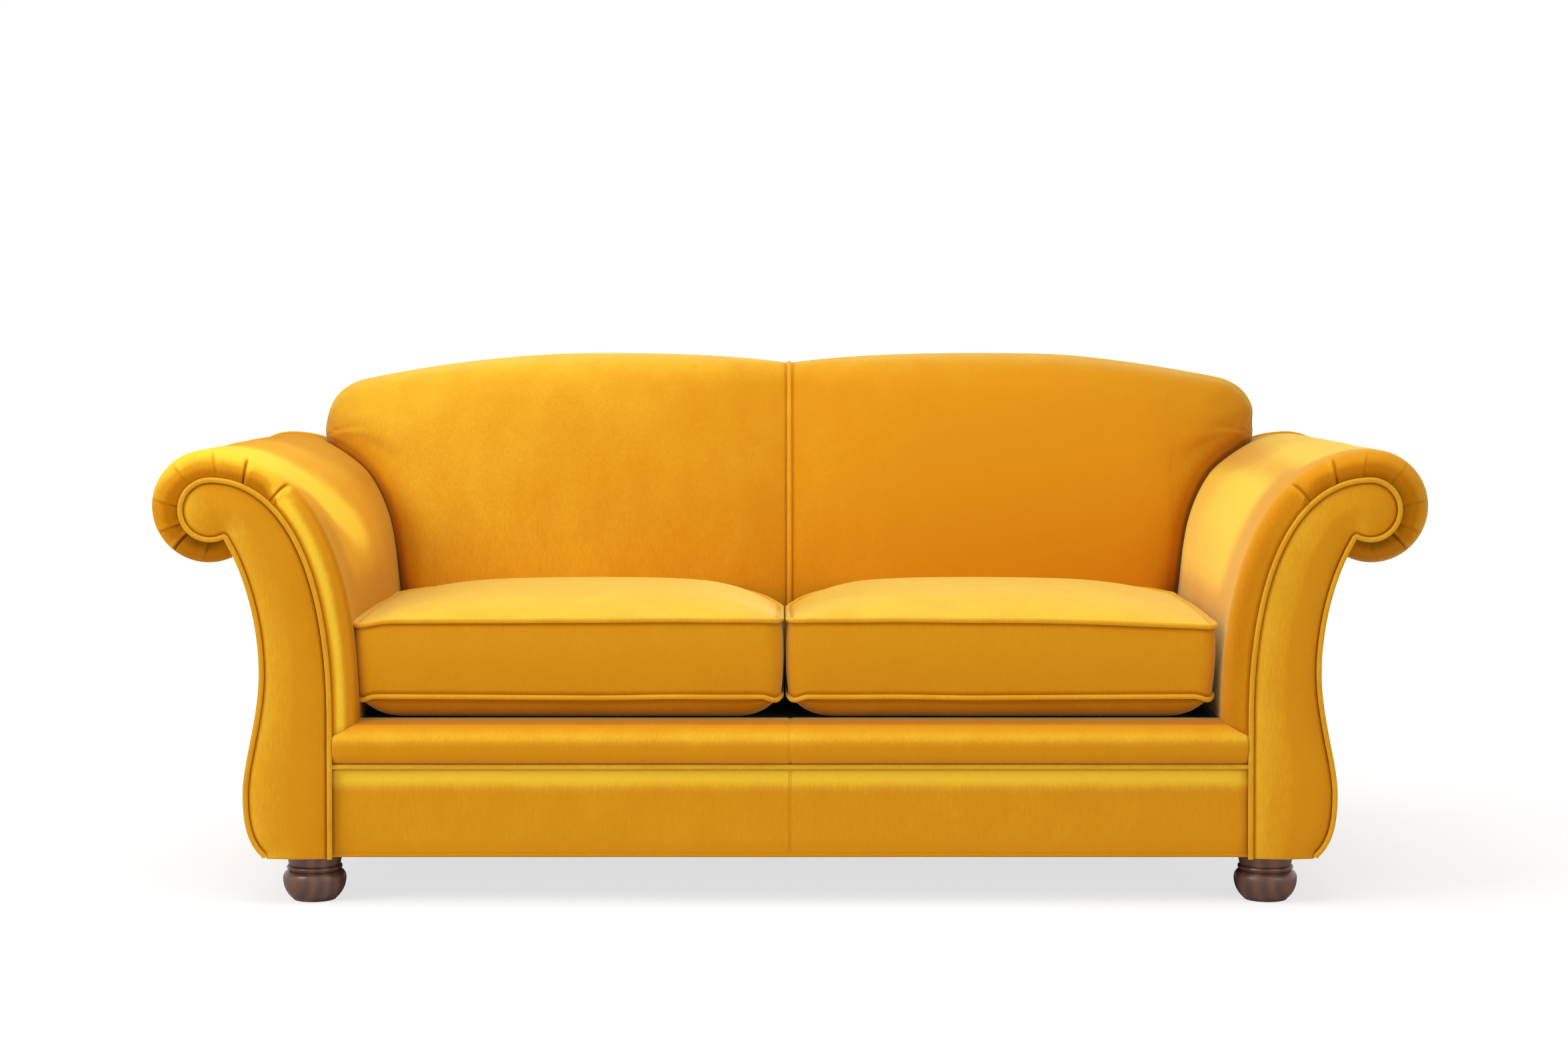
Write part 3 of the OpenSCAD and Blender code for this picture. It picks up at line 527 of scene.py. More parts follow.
lip = {
    "run": 0.050, "round": 0.035, "proud": 0.005, "height": 0.070, "halfWidth": 0.7495,
    "cordR": 0.0042, "cordDepth": 0.0072, "cordReach": 0.752, "thickness": 0.010,
}
lip["endZ"] = sofa["deckZ"] - lip["height"]
lip["cordZ"] = lip["endZ"] - 0.004
# Shares of the way up the pad, finer where the pleats are, and on round the scroll
padSteps = np.concatenate([np.linspace(0, 0.56, 34), np.linspace(0.566, 1, 112)])
arcShares = np.arange(1, arm["arcSteps"] + 1) / arm["arcSteps"]
scrollPlaces = np.concatenate([[-0.06, -0.03], padSteps, 1 + arcShares])


def armTop(depth):
    return arm["topZ"] - arm["drop"] * max(0, depth - arm["rollR"]) / (sofa["frameDepth"] - arm["rollR"])


def lipTop(depth):
    inwards = max(0, lip["run"] - depth) / (lip["run"] + lip["proud"])
    return sofa["deckZ"] - lip["round"] * (1 - math.sqrt(max(0, 1 - inwards ** 2)))


def scrollCentre(g, depth):
    shiftX, shiftZ = arm["facingShift"]
    return np.array([arm["width"] - arm["scrollR"] - shiftX * g,
                     mix(armTop(depth) - arm["scrollR"], arm["topZ"] - arm["scrollR"] - shiftZ, g)])


def armScroll(g, depth):
    # Inner face, top and scroll at a depth, with g from 0 for the full section to 1 for the facing's outline
    r = arm["scrollR"] - arm["rollR"] * g
    c = scrollCentre(g, depth)
    x = arm["rollR"] * g
    deck, low = sofa["deckZ"], lipTop(depth)
    top = c + [0, r]
    rise, reach = mix(*arm["padSwell"], g), mix(*arm["padReach"], g)
    pad = bezier([[x, deck + 0.0013], [x, deck + rise], top - [reach, 0], top], padSteps)
    turn = np.radians(90 - arcShares * (90 - arm["scrollEnd"]))
    arc = c + r * np.column_stack([np.cos(turn), np.sin(turn)])
    return np.vstack([[[x, low], [x, mix(low, deck, 0.6)]], pad, arc])


def armFlank(g, depth):
    # The outside from under the scroll, over waist and swell, down to the hem
    turn = math.radians(arm["scrollEnd"])
    r = arm["scrollR"] - arm["rollR"] * g
    tuck = scrollCentre(g, depth) + r * np.array([math.cos(turn), math.sin(turn)])
    waist = np.array([arm["waistW"] - arm["waistIn"] * g, sofa["deckZ"] + arm["waistRise"]])
    swellZ = sofa["footZ"] + arm["swellRise"] + arm["swellUp"] * g
    swell = np.array([arm["swellW"] - arm["swellIn"] * g, swellZ])
    hem = np.array([arm["hemW"], sofa["hemZ"]])
    upper, middle, lower = tuck - waist, waist - swell, swell - hem
    steps = np.linspace(0, 1, 36)
    return np.vstack([
        bezier([tuck, tuck - upper * [0.7, 0.3], waist + upper * [0, 0.3], waist], steps),
        bezier([waist, waist - middle * [0, 0.38], swell + middle * [0, 0.26], swell], steps[1:]),
        bezier([swell, swell - lower * [0, 0.5], hem + lower * [0.75, 0.2], hem], np.linspace(0, 1, 24)[1:])])


def armRings(section, firstAngle, rollSteps, depthSteps):
    # Sections from the seam at the facing, round the rolled edge and back along the frame
    rings, turns = [], []

    def addRing(path, depth, turn):
        rings.append(np.column_stack([sofa["padX"] + path[:, 0], yAt(depth + 0 * path[:, 0]), path[:, 1]]))
        turns.append(turn)

    addRing(section(arm["seamRoll"], arm["seamDepth"]), arm["seamDepth"], 0)
    for angle in np.linspace(firstAngle, 90, rollSteps):
        a = math.radians(angle)
        depth = arm["rollR"] * (1 - math.cos(a))
        addRing(section(1 - math.sin(a), depth), depth, angle / 90)
    for share in (np.arange(1, depthSteps + 1) / depthSteps) ** arm["ringSpacing"]:
        path = section(0, mix(arm["rollR"], sofa["frameDepth"], share))
        ends = np.full(len(path), sofa["frameDepth"])
        if section is armScroll:
            # The inner face ends at the back posts, the scroll and its underside at the end of the frame
            ends = np.where(path[:, 0] < arm["postReach"], sofa["postDepth"] - 0.0005, ends)
            ends[-arm["hiddenArc"]:] = sofa["frameDepth"]
        addRing(path, mix(arm["rollR"], ends, share), 1 + share)
    return np.array(rings), np.array(turns)


# Each pleat runs from a place beside the welt to a place on the roll, and has a strength
# The light and dark values paint a highlight beside each crease and shade in it
pleats = {
    "places": [(0.690, 0.636, 1.0), (0.835, 0.838, 1.0), (0.965, 0.985, 0.30), (1.187, 1.187, 0.20),
               (1.406, 1.388, 0.28), (1.560, 1.565, 0.40), (1.660, 1.690, 1.0), (1.86, 1.84, 0.25)],
    "depth": 0.0034, "width": 0.0013, "rise": 0.0014, "fade": (0.55, 0.86), "widening": 0.8,
    "foldPlace": -3.2, "foldWidth": 3.4, "light": 0.8, "lightPlace": -3.4, "lightWidth": 2.8,
    "dark": -2.4, "darkWidth": 1.3,
}


def pleatFolds(grid, turns):
    # How far each point rises or sinks, and the painted highlight and painted shade along each pleat
    steps = np.linalg.norm(np.diff(grid, axis=1), axis=2)
    along = np.concatenate([np.zeros((len(grid), 1)), np.cumsum(steps, axis=1)], axis=1)
    heights, creaseLightAndShade = np.zeros(grid.shape[:2]), np.zeros(grid.shape[:2])
    for start, end, strength in pleats["places"]:
        for j, turn in enumerate(turns):
            share = min(turn, 1)
            fade = strength * (1 - smoothStep(*pleats["fade"], turn))
            if fade <= 0:
                continue
            s = along[j] - np.interp(mix(start, end, share), scrollPlaces, along[j])
            w = pleats["width"] * (1 + pleats["widening"] * share)
            fold = pleats["rise"] * bell(s, pleats["foldPlace"] * w, pleats["foldWidth"] * w)
            heights[j] += fade * (fold - pleats["depth"] * bell(s, 0, w))
            light = pleats["light"] * bell(s, pleats["lightPlace"] * w, pleats["lightWidth"] * w)
            creaseLightAndShade[j] += fade * (light + pleats["dark"] * bell(s, 0, pleats["darkWidth"] * w))
    return heights, creaseLightAndShade


def innerFullness(z):
    low, middle, high = arm["fullnessZ"]
    return arm["fullness"] * smoothStep(low, middle, z) * (1 - smoothStep(middle, high, z))


def buildArmPad():
    grid, turns = armRings(armScroll, 6, 30, 46)
    normals = gridNormals(grid, (50, 40), (-1, 0, 0))
    heights, creaseLightAndShade = pleatFolds(grid, turns)
    heights += arm["rollBulge"] * np.sin(np.pi * np.clip(turns, 0, 1))[:, None]
    heights += arm["lumps"] * softNoise(grid, 0.16, 1) * smoothStep(0.2, 1.0, turns)[:, None]
    grid = grid + normals * heights[:, :, None]
    inner = np.arange(grid.shape[1]) < 2 + len(padSteps)
    behind = smoothStep(*arm["fullnessDepth"], grid[:, :, 1] - yAt(0))
    grid[:, :, 0] -= innerFullness(grid[:, :, 2]) * inner * behind
    return gridSheet("armPadRight", grid), creaseLightAndShade.ravel()


armPad, armCreaseLightAndShade = buildArmPad()
thicken(armPad, (sofa["padX"], 0, 0.45), (-1, 0, 0), arm["padThickness"])
armPadLeft = mirroredPiece(armPad, "armPadLeft")
# How strongly light and shade are painted on the arms: painted highlights, and painted shade beside the
# welts, under the scroll and towards the rear
armPaintedLight = {
    "scrollWelt": -1.9, "innerWelt": -1.5, "beneath": -0.9, "rear": -0.7,
    "left": {"edge": 1.00, "valley": -0.75, "patch": 1.45, "low": -0.95},
    "right": {"base": -0.15, "edge": -0.50, "patch": 1.35, "low": -0.35, "crest": 1.2, "rear": 0.6,
              "creaseLightAndShade": 0.55},
}


def armLightAndShade(points, side):
    # Painted highlight bands along the rolled edge and a broad painted highlight further back, painted shade
    # beside the welt, low down and towards the rear; on the right arm a painted highlight along the top
    across, depth, z = np.abs(points[:, 0]), points[:, 1] - sofa["facingY"], points[:, 2]
    turn = np.degrees(np.arccos(np.clip(1 - depth / arm["rollR"], -1, 1)))
    inner = 1 - smoothStep(0.835, 0.865, across)
    under = (1 - smoothStep(0.66, 0.72, z)) * inner
    dark = armPaintedLight["scrollWelt"] * bell(turn, 0, 30) + armPaintedLight["beneath"] * (1 - smoothStep(0.560, 0.630, z))
    dark = mix(dark, armPaintedLight["innerWelt"] * bell(turn, 0, 6), inner)
    rear = armPaintedLight["rear"] * smoothStep(0.38, 0.60, depth) * smoothStep(0.48, 0.58, z)
    creaseLightAndShade = np.zeros(len(points))
    creaseLightAndShade[:len(armCreaseLightAndShade)] = armCreaseLightAndShade
    share = armPaintedLight[side]
    if side == "left":
        edge = share["edge"] * bell(turn, 20, mix(13, 15, smoothStep(0.42, 0.62, z)))
        valley = share["valley"] * smoothStep(46, 70, turn) * (1 - smoothStep(0.085, 0.190, depth))
        low = share["low"] * smoothStep(0.06, 0.16, depth) * (1 - smoothStep(0.48, 0.58, z))
        middle = mix(0.30, 0.09, smoothStep(0.56, 0.74, z))
        width = mix(0.085, 0.125, smoothStep(0.56, 0.70, z))
        patch = share["patch"] * bell(depth, middle, width) * smoothStep(0.50, 0.62, z)
        return under * (edge + valley + low) + patch + dark + rear + creaseLightAndShade
    edge = share["base"] + share["edge"] * bell(turn, 30, 30)
    patch = share["patch"] * smoothStep(0.09, 0.23, depth) * smoothStep(0.44, 0.54, z)
    low = share["low"] * smoothStep(0.03, 0.10, depth) * (1 - smoothStep(0.44, 0.50, z))
    crest = share["crest"] * smoothStep(0.69, 0.735, z) * smoothStep(0.04, 0.12, depth)
    return under * (edge + patch + low) + dark + crest + share["rear"] * rear + share["creaseLightAndShade"] * creaseLightAndShade


# Each arm gets its own copy of the velvet, set for how light falls on its inner face: the left one with less
# sheen, so it looks shaded, the right one with more
armSheen = {"right": (0.80, (1.0, 0.90, 0.38, 1)), "left": (0.36, (1.0, 0.92, 0.20, 1))}
for side, piece in (("right", armPad), ("left", armPadLeft)):
    paintLightAndShade(piece, lambda points: armLightAndShade(points, side))
    dress(piece, "sofa", "velvet", "arm_cover_" + side, "arm_foam_" + side)
    piece.data.materials[0] = velvetMaterial("velvetArm" + side.title(), 1.0, 1.0, *armSheen[side])


def buildArmOutside():
    grid, turns = armRings(armFlank, 14, 18, 40)
    normals = gridNormals(grid, (40, 60), (1, 0, 0))
    waves = arm["waves"] * softNoise(grid, 0.22, 4) * smoothStep(0.3, 1.0, turns)[:, None]
    return gridSheet("armOutsideRight", grid + normals * waves[:, :, None])


armOutside = buildArmOutside()
thicken(armOutside, (sofa["padX"] + arm["swellW"], 0, 0.18), (1, 0, 0), arm["outsideThickness"])
dress(mirroredPiece(armOutside, "armOutsideLeft"), "sofa", "velvet", "arm_outside_left")
dress(armOutside, "sofa", "velvet", "arm_outside_right")
print("arms covered")


# Arm facings and their welts
facing = {
    "thickness": 0.008, "edgeDepth": 0.0035, "dome": 0.0125, "domeRun": 0.032, "voxel": 0.0030,
    "hemZ": sofa["hemZ"] - 0.0040, "waves": 0.0007, "cordR": 0.0043, "cordDepth": 0.0006,
    "pile": 0.10, "sideways": -1.5, "weltDark": -1.9,
}


def facingOutline():
    scroll, flank = armScroll(1, 0)[3:], armFlank(1, 0)[1:]
    outline = np.vstack([[[arm["rollR"], facing["hemZ"]]], scroll, flank])
    outline[-1, 1] = facing["hemZ"]
    return outline


def outlinePlate(name, outline, yFront, yBack):
    # A plate from an outline of [x, z], filled and extruded backwards
    points = [(x, yFront, z) for x, z in outline]
    piece = meshPiece(name, points, [list(range(len(points)))], smooth=False)
    makeActive(piece)
    bpy.ops.object.mode_set(mode="EDIT")
    bpy.ops.mesh.select_all(action="SELECT")
    bpy.ops.mesh.extrude_region_move(TRANSFORM_OT_translate={"value": (0, yBack - yFront, 0)})
    bpy.ops.mesh.select_all(action="SELECT")
    bpy.ops.mesh.normals_make_consistent(inside=False)
    bpy.ops.object.mode_set(mode="OBJECT")
    return piece


def buildFacing():
    outline = facingOutline() + [sofa["padX"], 0]
    yFront = yAt(facing["edgeDepth"])
    plate = outlinePlate("armFacingRight", outline, yFront, yFront + facing["thickness"])
    applyModifier(plate, "REMESH", mode="VOXEL", voxel_size=facing["voxel"], use_smooth_shade=True)
    points = readPoints(plate)
    edge = distanceTo(outline[:-1], points[:, [0, 2]])
    rise = facing["dome"] * (1 - np.exp(-edge / facing["domeRun"]))
    ahead = points[:, 1] < yFront + facing["thickness"] * 0.4
    points[ahead, 1] -= rise[ahead]
    points[ahead, 1] += facing["waves"] * softNoise(points[ahead], 0.07, 9)
    writePoints(plate, points)
    applyModifier(plate, "SMOOTH", factor=0.5, iterations=10)
    plate.data.shade_smooth()
    return plate


def buildFacingWelt():
    route = evenPath(facingOutline(), 0.004)[:-1]
    path = [(sofa["padX"] + x, yAt(facing["cordDepth"]), z) for x, z in route]
    return cordPiece("armWeltRight", path, facing["cordR"])


# Painted light on slopes that face left, painted shade on slopes that face right and beside the welt
def facingLightAndShade(points, normals):
    outline = facingOutline()[:-1] + [sofa["padX"], 0]
    edge = distanceTo(outline[::2], np.column_stack([np.abs(points[:, 0]), points[:, 2]]))
    dark = facing["weltDark"] * bell(edge, 0.0050, 0.0024)
    return facing["pile"] + facing["sideways"] * normals[:, 0] + dark


armFacing = buildFacing()
armFacingLeft = mirroredPiece(armFacing, "armFacingLeft")
armWelt = buildFacingWelt()
armWeltLeft = mirroredPiece(armWelt, "armWeltLeft")
for side, plate, welt in (("right", armFacing, armWelt), ("left", armFacingLeft, armWeltLeft)):
    paintLightAndShade(plate, lambda points: facingLightAndShade(points, readPoints(plate, "normal")))
    # A painted highlight, the same all over the welt
    paintLightAndShade(welt, 0.35)
    dress(plate, "sofa", "velvet", "arm_facing_" + side)
    dress(welt, "sofa", "piping", "arm_piping_" + side)
print("facings and welts made")


# The back
back = {
    "topZ": 0.887, "dip": 0.019, "reach": 0.173, "lean": 0.129, "leanRise": 0.180, "leanPower": 1.8,
    "seatFace": 0.648, "seamPull": 0.030, "seamRun": 0.220, "cornerRun": 0.316, "cornerPull": 0.060,
    "crestIn": 0.062, "rearFall": 0.014, "topRound": 0.060, "shoulderIn": 0.068, "shoulderDrop": 0.051,
    "seatGap": 0.0015, "tuck": 0.024, "tuckRun": 0.014, "firstX": 0.0035, "footDepth": 0.060,
    "faceRows": 44, "overRows": 15, "rearRows": 9, "puffCap": 0.009,
    "underEnd": ((0.003, 0.006), (0.008, 0.015), (0.013, 0.0195)),
    "pile": 0.16, "leftLight": -0.40, "topLight": 0.25, "armDark": -3.0, "weltDark": -1.5, "cordR": 0.0044,
}
back["halfX"] = sofa["padX"] + back["reach"]
back["sideTopZ"] = arm["topZ"] - 0.006
back["leanZ"] = sofa["deckZ"] + back["leanRise"]
back["faceEnd"] = back["faceRows"] + back["overRows"] - 1
back["rearStart"] = back["faceRows"] + back["overRows"] + 1


def backLine():
    # The top edge of one half as points of [x, z], from the middle welt over the shoulder to the arm
    crest, x, z = back["halfX"] * 0.4, back["halfX"], back["topZ"]
    shoulder, drop, dip, side = x - back["shoulderIn"], back["shoulderDrop"], back["dip"], back["sideTopZ"]
    fall, turn, rise = shoulder - crest, back["shoulderIn"], side - (z - drop)
    return np.vstack([
        bezier([[0, z - dip], [crest * 0.25, z - dip * 0.3], [crest * 0.6, z], [crest, z]],
               np.linspace(0, 1, 40)),
        bezier([[crest, z], [crest + 0.42 * fall, z], [shoulder - 0.2 * fall, z - 0.6 * drop],
                [shoulder, z - drop]], np.linspace(0, 1, 50)[1:]),
        bezier([[shoulder, z - drop], [shoulder + 0.64 * turn, z - drop + 0.15 * rise],
                [x - 0.03 * turn, side - 0.55 * rise], [x, side]], np.linspace(0, 1, 40)[1:])])


def armSurface(u, depth):
    path = armScroll(0, depth)[2:2 + len(padSteps)]
    return np.interp(u, path[:, 0], path[:, 1])


def backFace(x, z, top):
    lean = (np.maximum(0, z - back["leanZ"]) / (top - back["leanZ"])) ** back["leanPower"]
    corner = max(0, x - back["halfX"] + back["cornerRun"]) / back["cornerRun"]
    return (back["seatFace"] + back["lean"] * lean + back["seamPull"] * max(0, 1 - x / back["seamRun"]) ** 2
            + back["cornerPull"] * corner ** 3)


def backFoot(x, depth):
    return sofa["deckZ"] if x < sofa["padX"] else armSurface(x - sofa["padX"], depth) + back["seatGap"]


def backPath(x, top):
    # One line of points up the face, over the crest and back to the end of the frame
    crest = sofa["frameDepth"] - back["crestIn"]
    foot = backFoot(x, back["seatFace"] + back["footDepth"])
    turn = min(back["topRound"], 0.6 * (top - foot))
    edge = top - turn
    face = float(backFace(x, edge, top))
    slope = min(1.2, (face - float(backFace(x, edge - 0.004, top))) / 0.004)
    heights = np.linspace(foot, edge, back["faceRows"])
    rows = [[x, yAt(d), z] for z, d in zip(heights, backFace(x, heights, top))]
    rows[0][2] = backFoot(x, rows[0][1] - sofa["facingY"])
    over = bezier([[face, edge], [face + slope * 0.5 * turn, edge + 0.5 * turn],
                   [mix(face, crest, 0.35), top], [crest, top]], np.linspace(0, 1, back["overRows"] + 2)[1:])
    rows += [[x, yAt(d), z] for d, z in over]
    fall = back["rearFall"] * min(1, (top - foot) / 0.060)
    for d in np.linspace(crest + 0.008, sofa["frameDepth"], back["rearRows"]):
        rows.append([x, yAt(d), top - fall * ((d - crest) / back["crestIn"]) ** 2])
    return rows


def backStations():
    # Where the lines of points stand, as [x, top], from the middle to under the shoulder
    line, padX = backLine(), sofa["padX"]
    xs = np.concatenate([[back["firstX"], 0.008, 0.011], np.linspace(0.018, 0.06, 5),
                         np.linspace(0.075, padX - 0.016, 44), padX + np.array([-0.006, -0.0006, 0.0006]),
                         padX + np.linspace(0.006, 0.118, 14)])
    flat = [[x, np.interp(x, line[:, 0], line[:, 1])] for x in xs]
    end = [[x, z] for x, z in line if x > xs[-1] + 0.006]
    under = [[back["halfX"] - inwards, back["sideTopZ"] - down] for inwards, down in back["underEnd"]]
    return flat + end + under


def armFace():
    # The inner face and the top of the arm where it meets the back, as points of [x, z]
    pad = armScroll(0, back["seatFace"])[2:]
    full = innerFullness(pad[:, 1])
    full[len(padSteps):] = 0
    return pad + np.column_stack([sofa["padX"] - full, 0 * full])


def armGap(x, z):
    return distanceTo(armFace()[::3], np.stack([x, z], axis=-1))


def buildBackHalf():
    grid = np.array([backPath(x, z) for x, z in backStations()])
    rearStart = back["rearStart"]
    face = np.arange(grid.shape[1]) < back["faceEnd"]
    grid[:, :, 1] += back["tuck"] * np.exp(-armGap(grid[:, :, 0], grid[:, :, 2]) / back["tuckRun"]) * face
    # Under the shoulder the pad goes down to the arm's falling top
    for line in grid[-len(back["underEnd"]):]:
        end = armSurface(line[0, 0] - sofa["padX"], sofa["frameDepth"]) + back["seatGap"] + 0.012
        fall = mix(line[rearStart, 2], end, np.linspace(0, 1, len(line) - rearStart) ** 2)
        line[rearStart:, 2] = np.minimum(line[rearStart:, 2], fall)
    # It is closed behind by three more points on each line, down at the webbing or on the arm
    behind, up, low = grid[:, -1].copy(), grid[:, -1].copy(), grid[:, 0].copy()
    behind[:, 1:] -= [0.006, 0.004]
    low[:, 1] = up[:, 1] = yAt(sofa["postDepth"] - 0.004)
    up[:, 2] = np.maximum(low[:, 2], behind[:, 2] - 0.018)
    for j in np.nonzero(low[:, 0] > sofa["padX"] + arm["postReach"])[0]:
        u = low[j, 0] - sofa["padX"]
        low[j, 2] = armSurface(u, sofa["postDepth"]) + back["seatGap"]
        up[j, 1:] = [yAt(sofa["frameDepth"] - 0.001), armSurface(u, sofa["frameDepth"]) + back["seatGap"]]
        behind[j, 1:] = [yAt(sofa["frameDepth"]), max(up[j, 2] + 0.002, behind[j, 2])]
    closed = np.concatenate([grid, behind[:, None], up[:, None], low[:, None]], axis=1)
    rows, columns = closed.shape[:2]
    index = np.arange(rows * columns).reshape(rows, columns)
    after = np.roll(index, -1, axis=1)
    faces = [(index[j, i], index[j + 1, i], after[j + 1, i], after[j, i])
             for j in range(rows - 1) for i in range(columns)]
    faces += [index[0], index[-1][::-1]]
    held = np.zeros((rows, columns), bool)
    held[:, rearStart:] = held[:, 0] = held[0] = held[-4:] = True
    return meshPiece("backPadRight", closed.reshape(-1, 3), faces), held.ravel()


def backLightAndShade(points):
    # Painted light to the left and along the top, painted shade where it meets the arms and beside the middle
    # welt
    across, z = np.abs(points[:, 0]), points[:, 2]
    light = back["leftLight"] * points[:, 0] / back["halfX"] + back["topLight"] * smoothStep(0.82, 0.88, z)
    dark = back["armDark"] * np.exp(-armGap(across, z) / 0.015)
    dark += back["weltDark"] * bell(across, 0.0060, 0.0026)
    return back["pile"] + light + dark


backPad, backHeld = buildBackHalf()
outwardAt(backPad, (0.35, yAt(back["seatFace"]), 0.55), (0, -1, 0))
puff(backPad, backHeld, back["puffCap"])
backPadLeft = mirroredPiece(backPad, "backPadLeft")
# The right shoulder is stuffed a little fuller
shoulder = readPoints(backPad)
shoulder[:, 2] += 0.004 * smoothStep(0.36, 0.56, shoulder[:, 0]) * smoothStep(0.74, 0.82, shoulder[:, 2])
shoulder[:, 0] += 0.008 * smoothStep(0.70, 0.86, shoulder[:, 0]) * smoothStep(0.745, 0.79, shoulder[:, 2])
writePoints(backPad, shoulder)
# A shaded copy of the velvet, 0.88 as bright, paints shade over the whole back
velvetBackShaded = velvetMaterial("velvetBackShaded", 0.88)
for side, piece in (("right", backPad), ("left", backPadLeft)):
    paintLightAndShade(piece, backLightAndShade)
    dress(piece, "sofa", "velvet", "back_cover_" + side, "back_foam_" + side)
    piece.data.materials[0] = velvetBackShaded

seamRows = backPath(0.0, float(backLine()[0][1]))
backWelt = cordPiece("backWelt", [(0, y - 0.0010, z) for _, y, z in seamRows], back["cordR"])
# A painted highlight, the same all over the welt
paintLightAndShade(backWelt, 0.3)
dress(backWelt, "sofa", "piping", "back_piping")
print("back made")


# Seat lip, front panel and deck
lipPaintedLight = {"brow": 0.55, "below": -0.30, "gap": -1.5, "weltDark": -1.6}


def lipProfile():
    deck, low, bulge, r = sofa["deckZ"], lip["endZ"], lip["proud"], lip["round"]
    lower = bezier([[0.010, low], [0, low + 0.001], [-bulge, mix(low, deck - r, 0.45)], [-bulge, deck - r]],
                   np.linspace(0, 1, 18))
    turn = np.radians(np.linspace(5, 90, 18))
    upper = np.column_stack([lip["run"] - (lip["run"] + bulge) * np.cos(turn), deck - r * (1 - np.sin(turn))])
    return np.vstack([[[0.016, low - 0.001]], lower, upper, [[0.0555, deck], [0.062, deck - 0.0015]]])


def buildLip():
    profile = lipProfile()
    half = np.concatenate([np.linspace(0.012, 0.715, 90), np.linspace(0.72, lip["halfWidth"], 8)])
    xs = np.concatenate([-half[::-1], np.linspace(-0.010, 0.010, 11), half])
    grid = np.array([[[x, yAt(d), z] for d, z in profile] for x in xs])
    normals = gridNormals(grid, (100, 12), (0, -1, 0))
    seam = 0.0016 * bell(np.abs(xs), 0, 0.0025)[:, None]
    ends = 0.004 * np.exp(-(lip["halfWidth"] - np.abs(xs)) / 0.010)[:, None]
    middle = np.sin(np.pi * np.linspace(0, 1, len(profile)))[None, :]
    heights = 0.0014 * softNoise(grid, 0.12, 3) * middle + 0.002 * middle ** 2 - seam - ends * middle
    return gridSheet("seatLip", grid + normals * heights[:, :, None])


# Painted highlight along the brow of the lip; painted shade low down, in the gap under the cushion and beside
# the welt
def lipLightAndShade(points):
    z = points[:, 2]
    return (lipPaintedLight["brow"] * bell(z, 0.276, 0.012) + lipPaintedLight["below"] * (1 - smoothStep(0.234, 0.254, z))
            + lipPaintedLight["gap"] * smoothStep(0.290, 0.2992, z)
            + lipPaintedLight["weltDark"] * (1 - smoothStep(0.2305, 0.2345, z)))


seatLip = buildLip()
thicken(seatLip, (0.3, yAt(-lip["proud"]), 0.265), (0, -1, 0), lip["thickness"])
paintLightAndShade(seatLip, lipLightAndShade)
dress(seatLip, "sofa", "velvet", "lip_cover", "lip_foam")

lipWeltEnds = [(x, yAt(lip["cordDepth"]), lip["cordZ"]) for x in (-lip["cordReach"], lip["cordReach"])]
lipWelt = cordPiece("lipWelt", evenPath(lipWeltEnds, 0.02), lip["cordR"])
# A painted highlight, the same all over the welt
paintLightAndShade(lipWelt, 0.5)
dress(lipWelt, "sofa", "piping", "front_piping")

panel = {
    "halfWidth": 0.7535, "topZ": 0.2225, "hemZ": sofa["hemZ"] - 0.0030, "depth": 0.0120, "endDepth": 0.0128,
    "thickness": 0.0035, "waves": 0.0012, "seam": 0.0013, "hemFold": 0.0010, "belly": 0.0012,
    "pile": 0.14, "topLight": 1.25, "hemDark": -0.30,
}


def buildFrontPanel():
    half, low = np.linspace(0.010, panel["halfWidth"], 90), panel["hemZ"]
    xs = np.concatenate([-half[::-1], np.linspace(-0.008, 0.008, 9), half])
    zs = np.concatenate([[low, low + 0.0008], np.linspace(low + 0.002, low + 0.012, 8),
                         np.linspace(low + 0.018, panel["topZ"], 22)])
    grid = np.array([[[x, yAt(panel["depth"]), z] for z in zs] for x in xs])
    seam = panel["seam"] * bell(xs, 0, 0.0022)
    ends = (panel["endDepth"] - panel["depth"]) * smoothStep(0.740, 0.7505, np.abs(xs))
    waves = panel["waves"] * softNoise(grid * [0.6, 1, 1], 0.10, 6)
    waves *= (1 - smoothStep(0.735, 0.750, np.abs(xs)))[:, None]
    fold = panel["hemFold"] * bell(zs, low + 0.0065, 0.0012)
    belly = panel["belly"] * np.sin(np.pi * np.clip((zs - low) / (panel["topZ"] - low), 0, 1))
    grid[:, :, 1] += (seam + ends)[:, None] + waves + (fold - belly)[None, :]
    # The hem turns back and under
    grid[:, 0, 1] += 0.0025
    grid[:, 1, 1] += 0.0008
    under = grid[:, :1].copy()
    under[:, 0, 1] = yAt(0.019)
    return gridSheet("frontPanel", np.concatenate([under, grid], axis=1))


# Painted highlight along the top under the welt, painted shade towards the hem
def panelLightAndShade(points):
    z = points[:, 2]
    return panel["pile"] + panel["topLight"] * smoothStep(0.180, 0.2165, z) \
        + panel["hemDark"] * (1 - smoothStep(0.078, 0.11, z))


frontPanel = buildFrontPanel()
thicken(frontPanel, (0.3, yAt(panel["depth"]), 0.15), (0, -1, 0), panel["thickness"])
paintLightAndShade(frontPanel, panelLightAndShade)
dress(frontPanel, "sofa", "velvet", "front_panel")

deck = {
    "halfWidth": 0.7515, "start": 0.0575, "endGap": 0.003, "thickness": 0.030, "sag": 0.0016, "edge": 0.002,
}


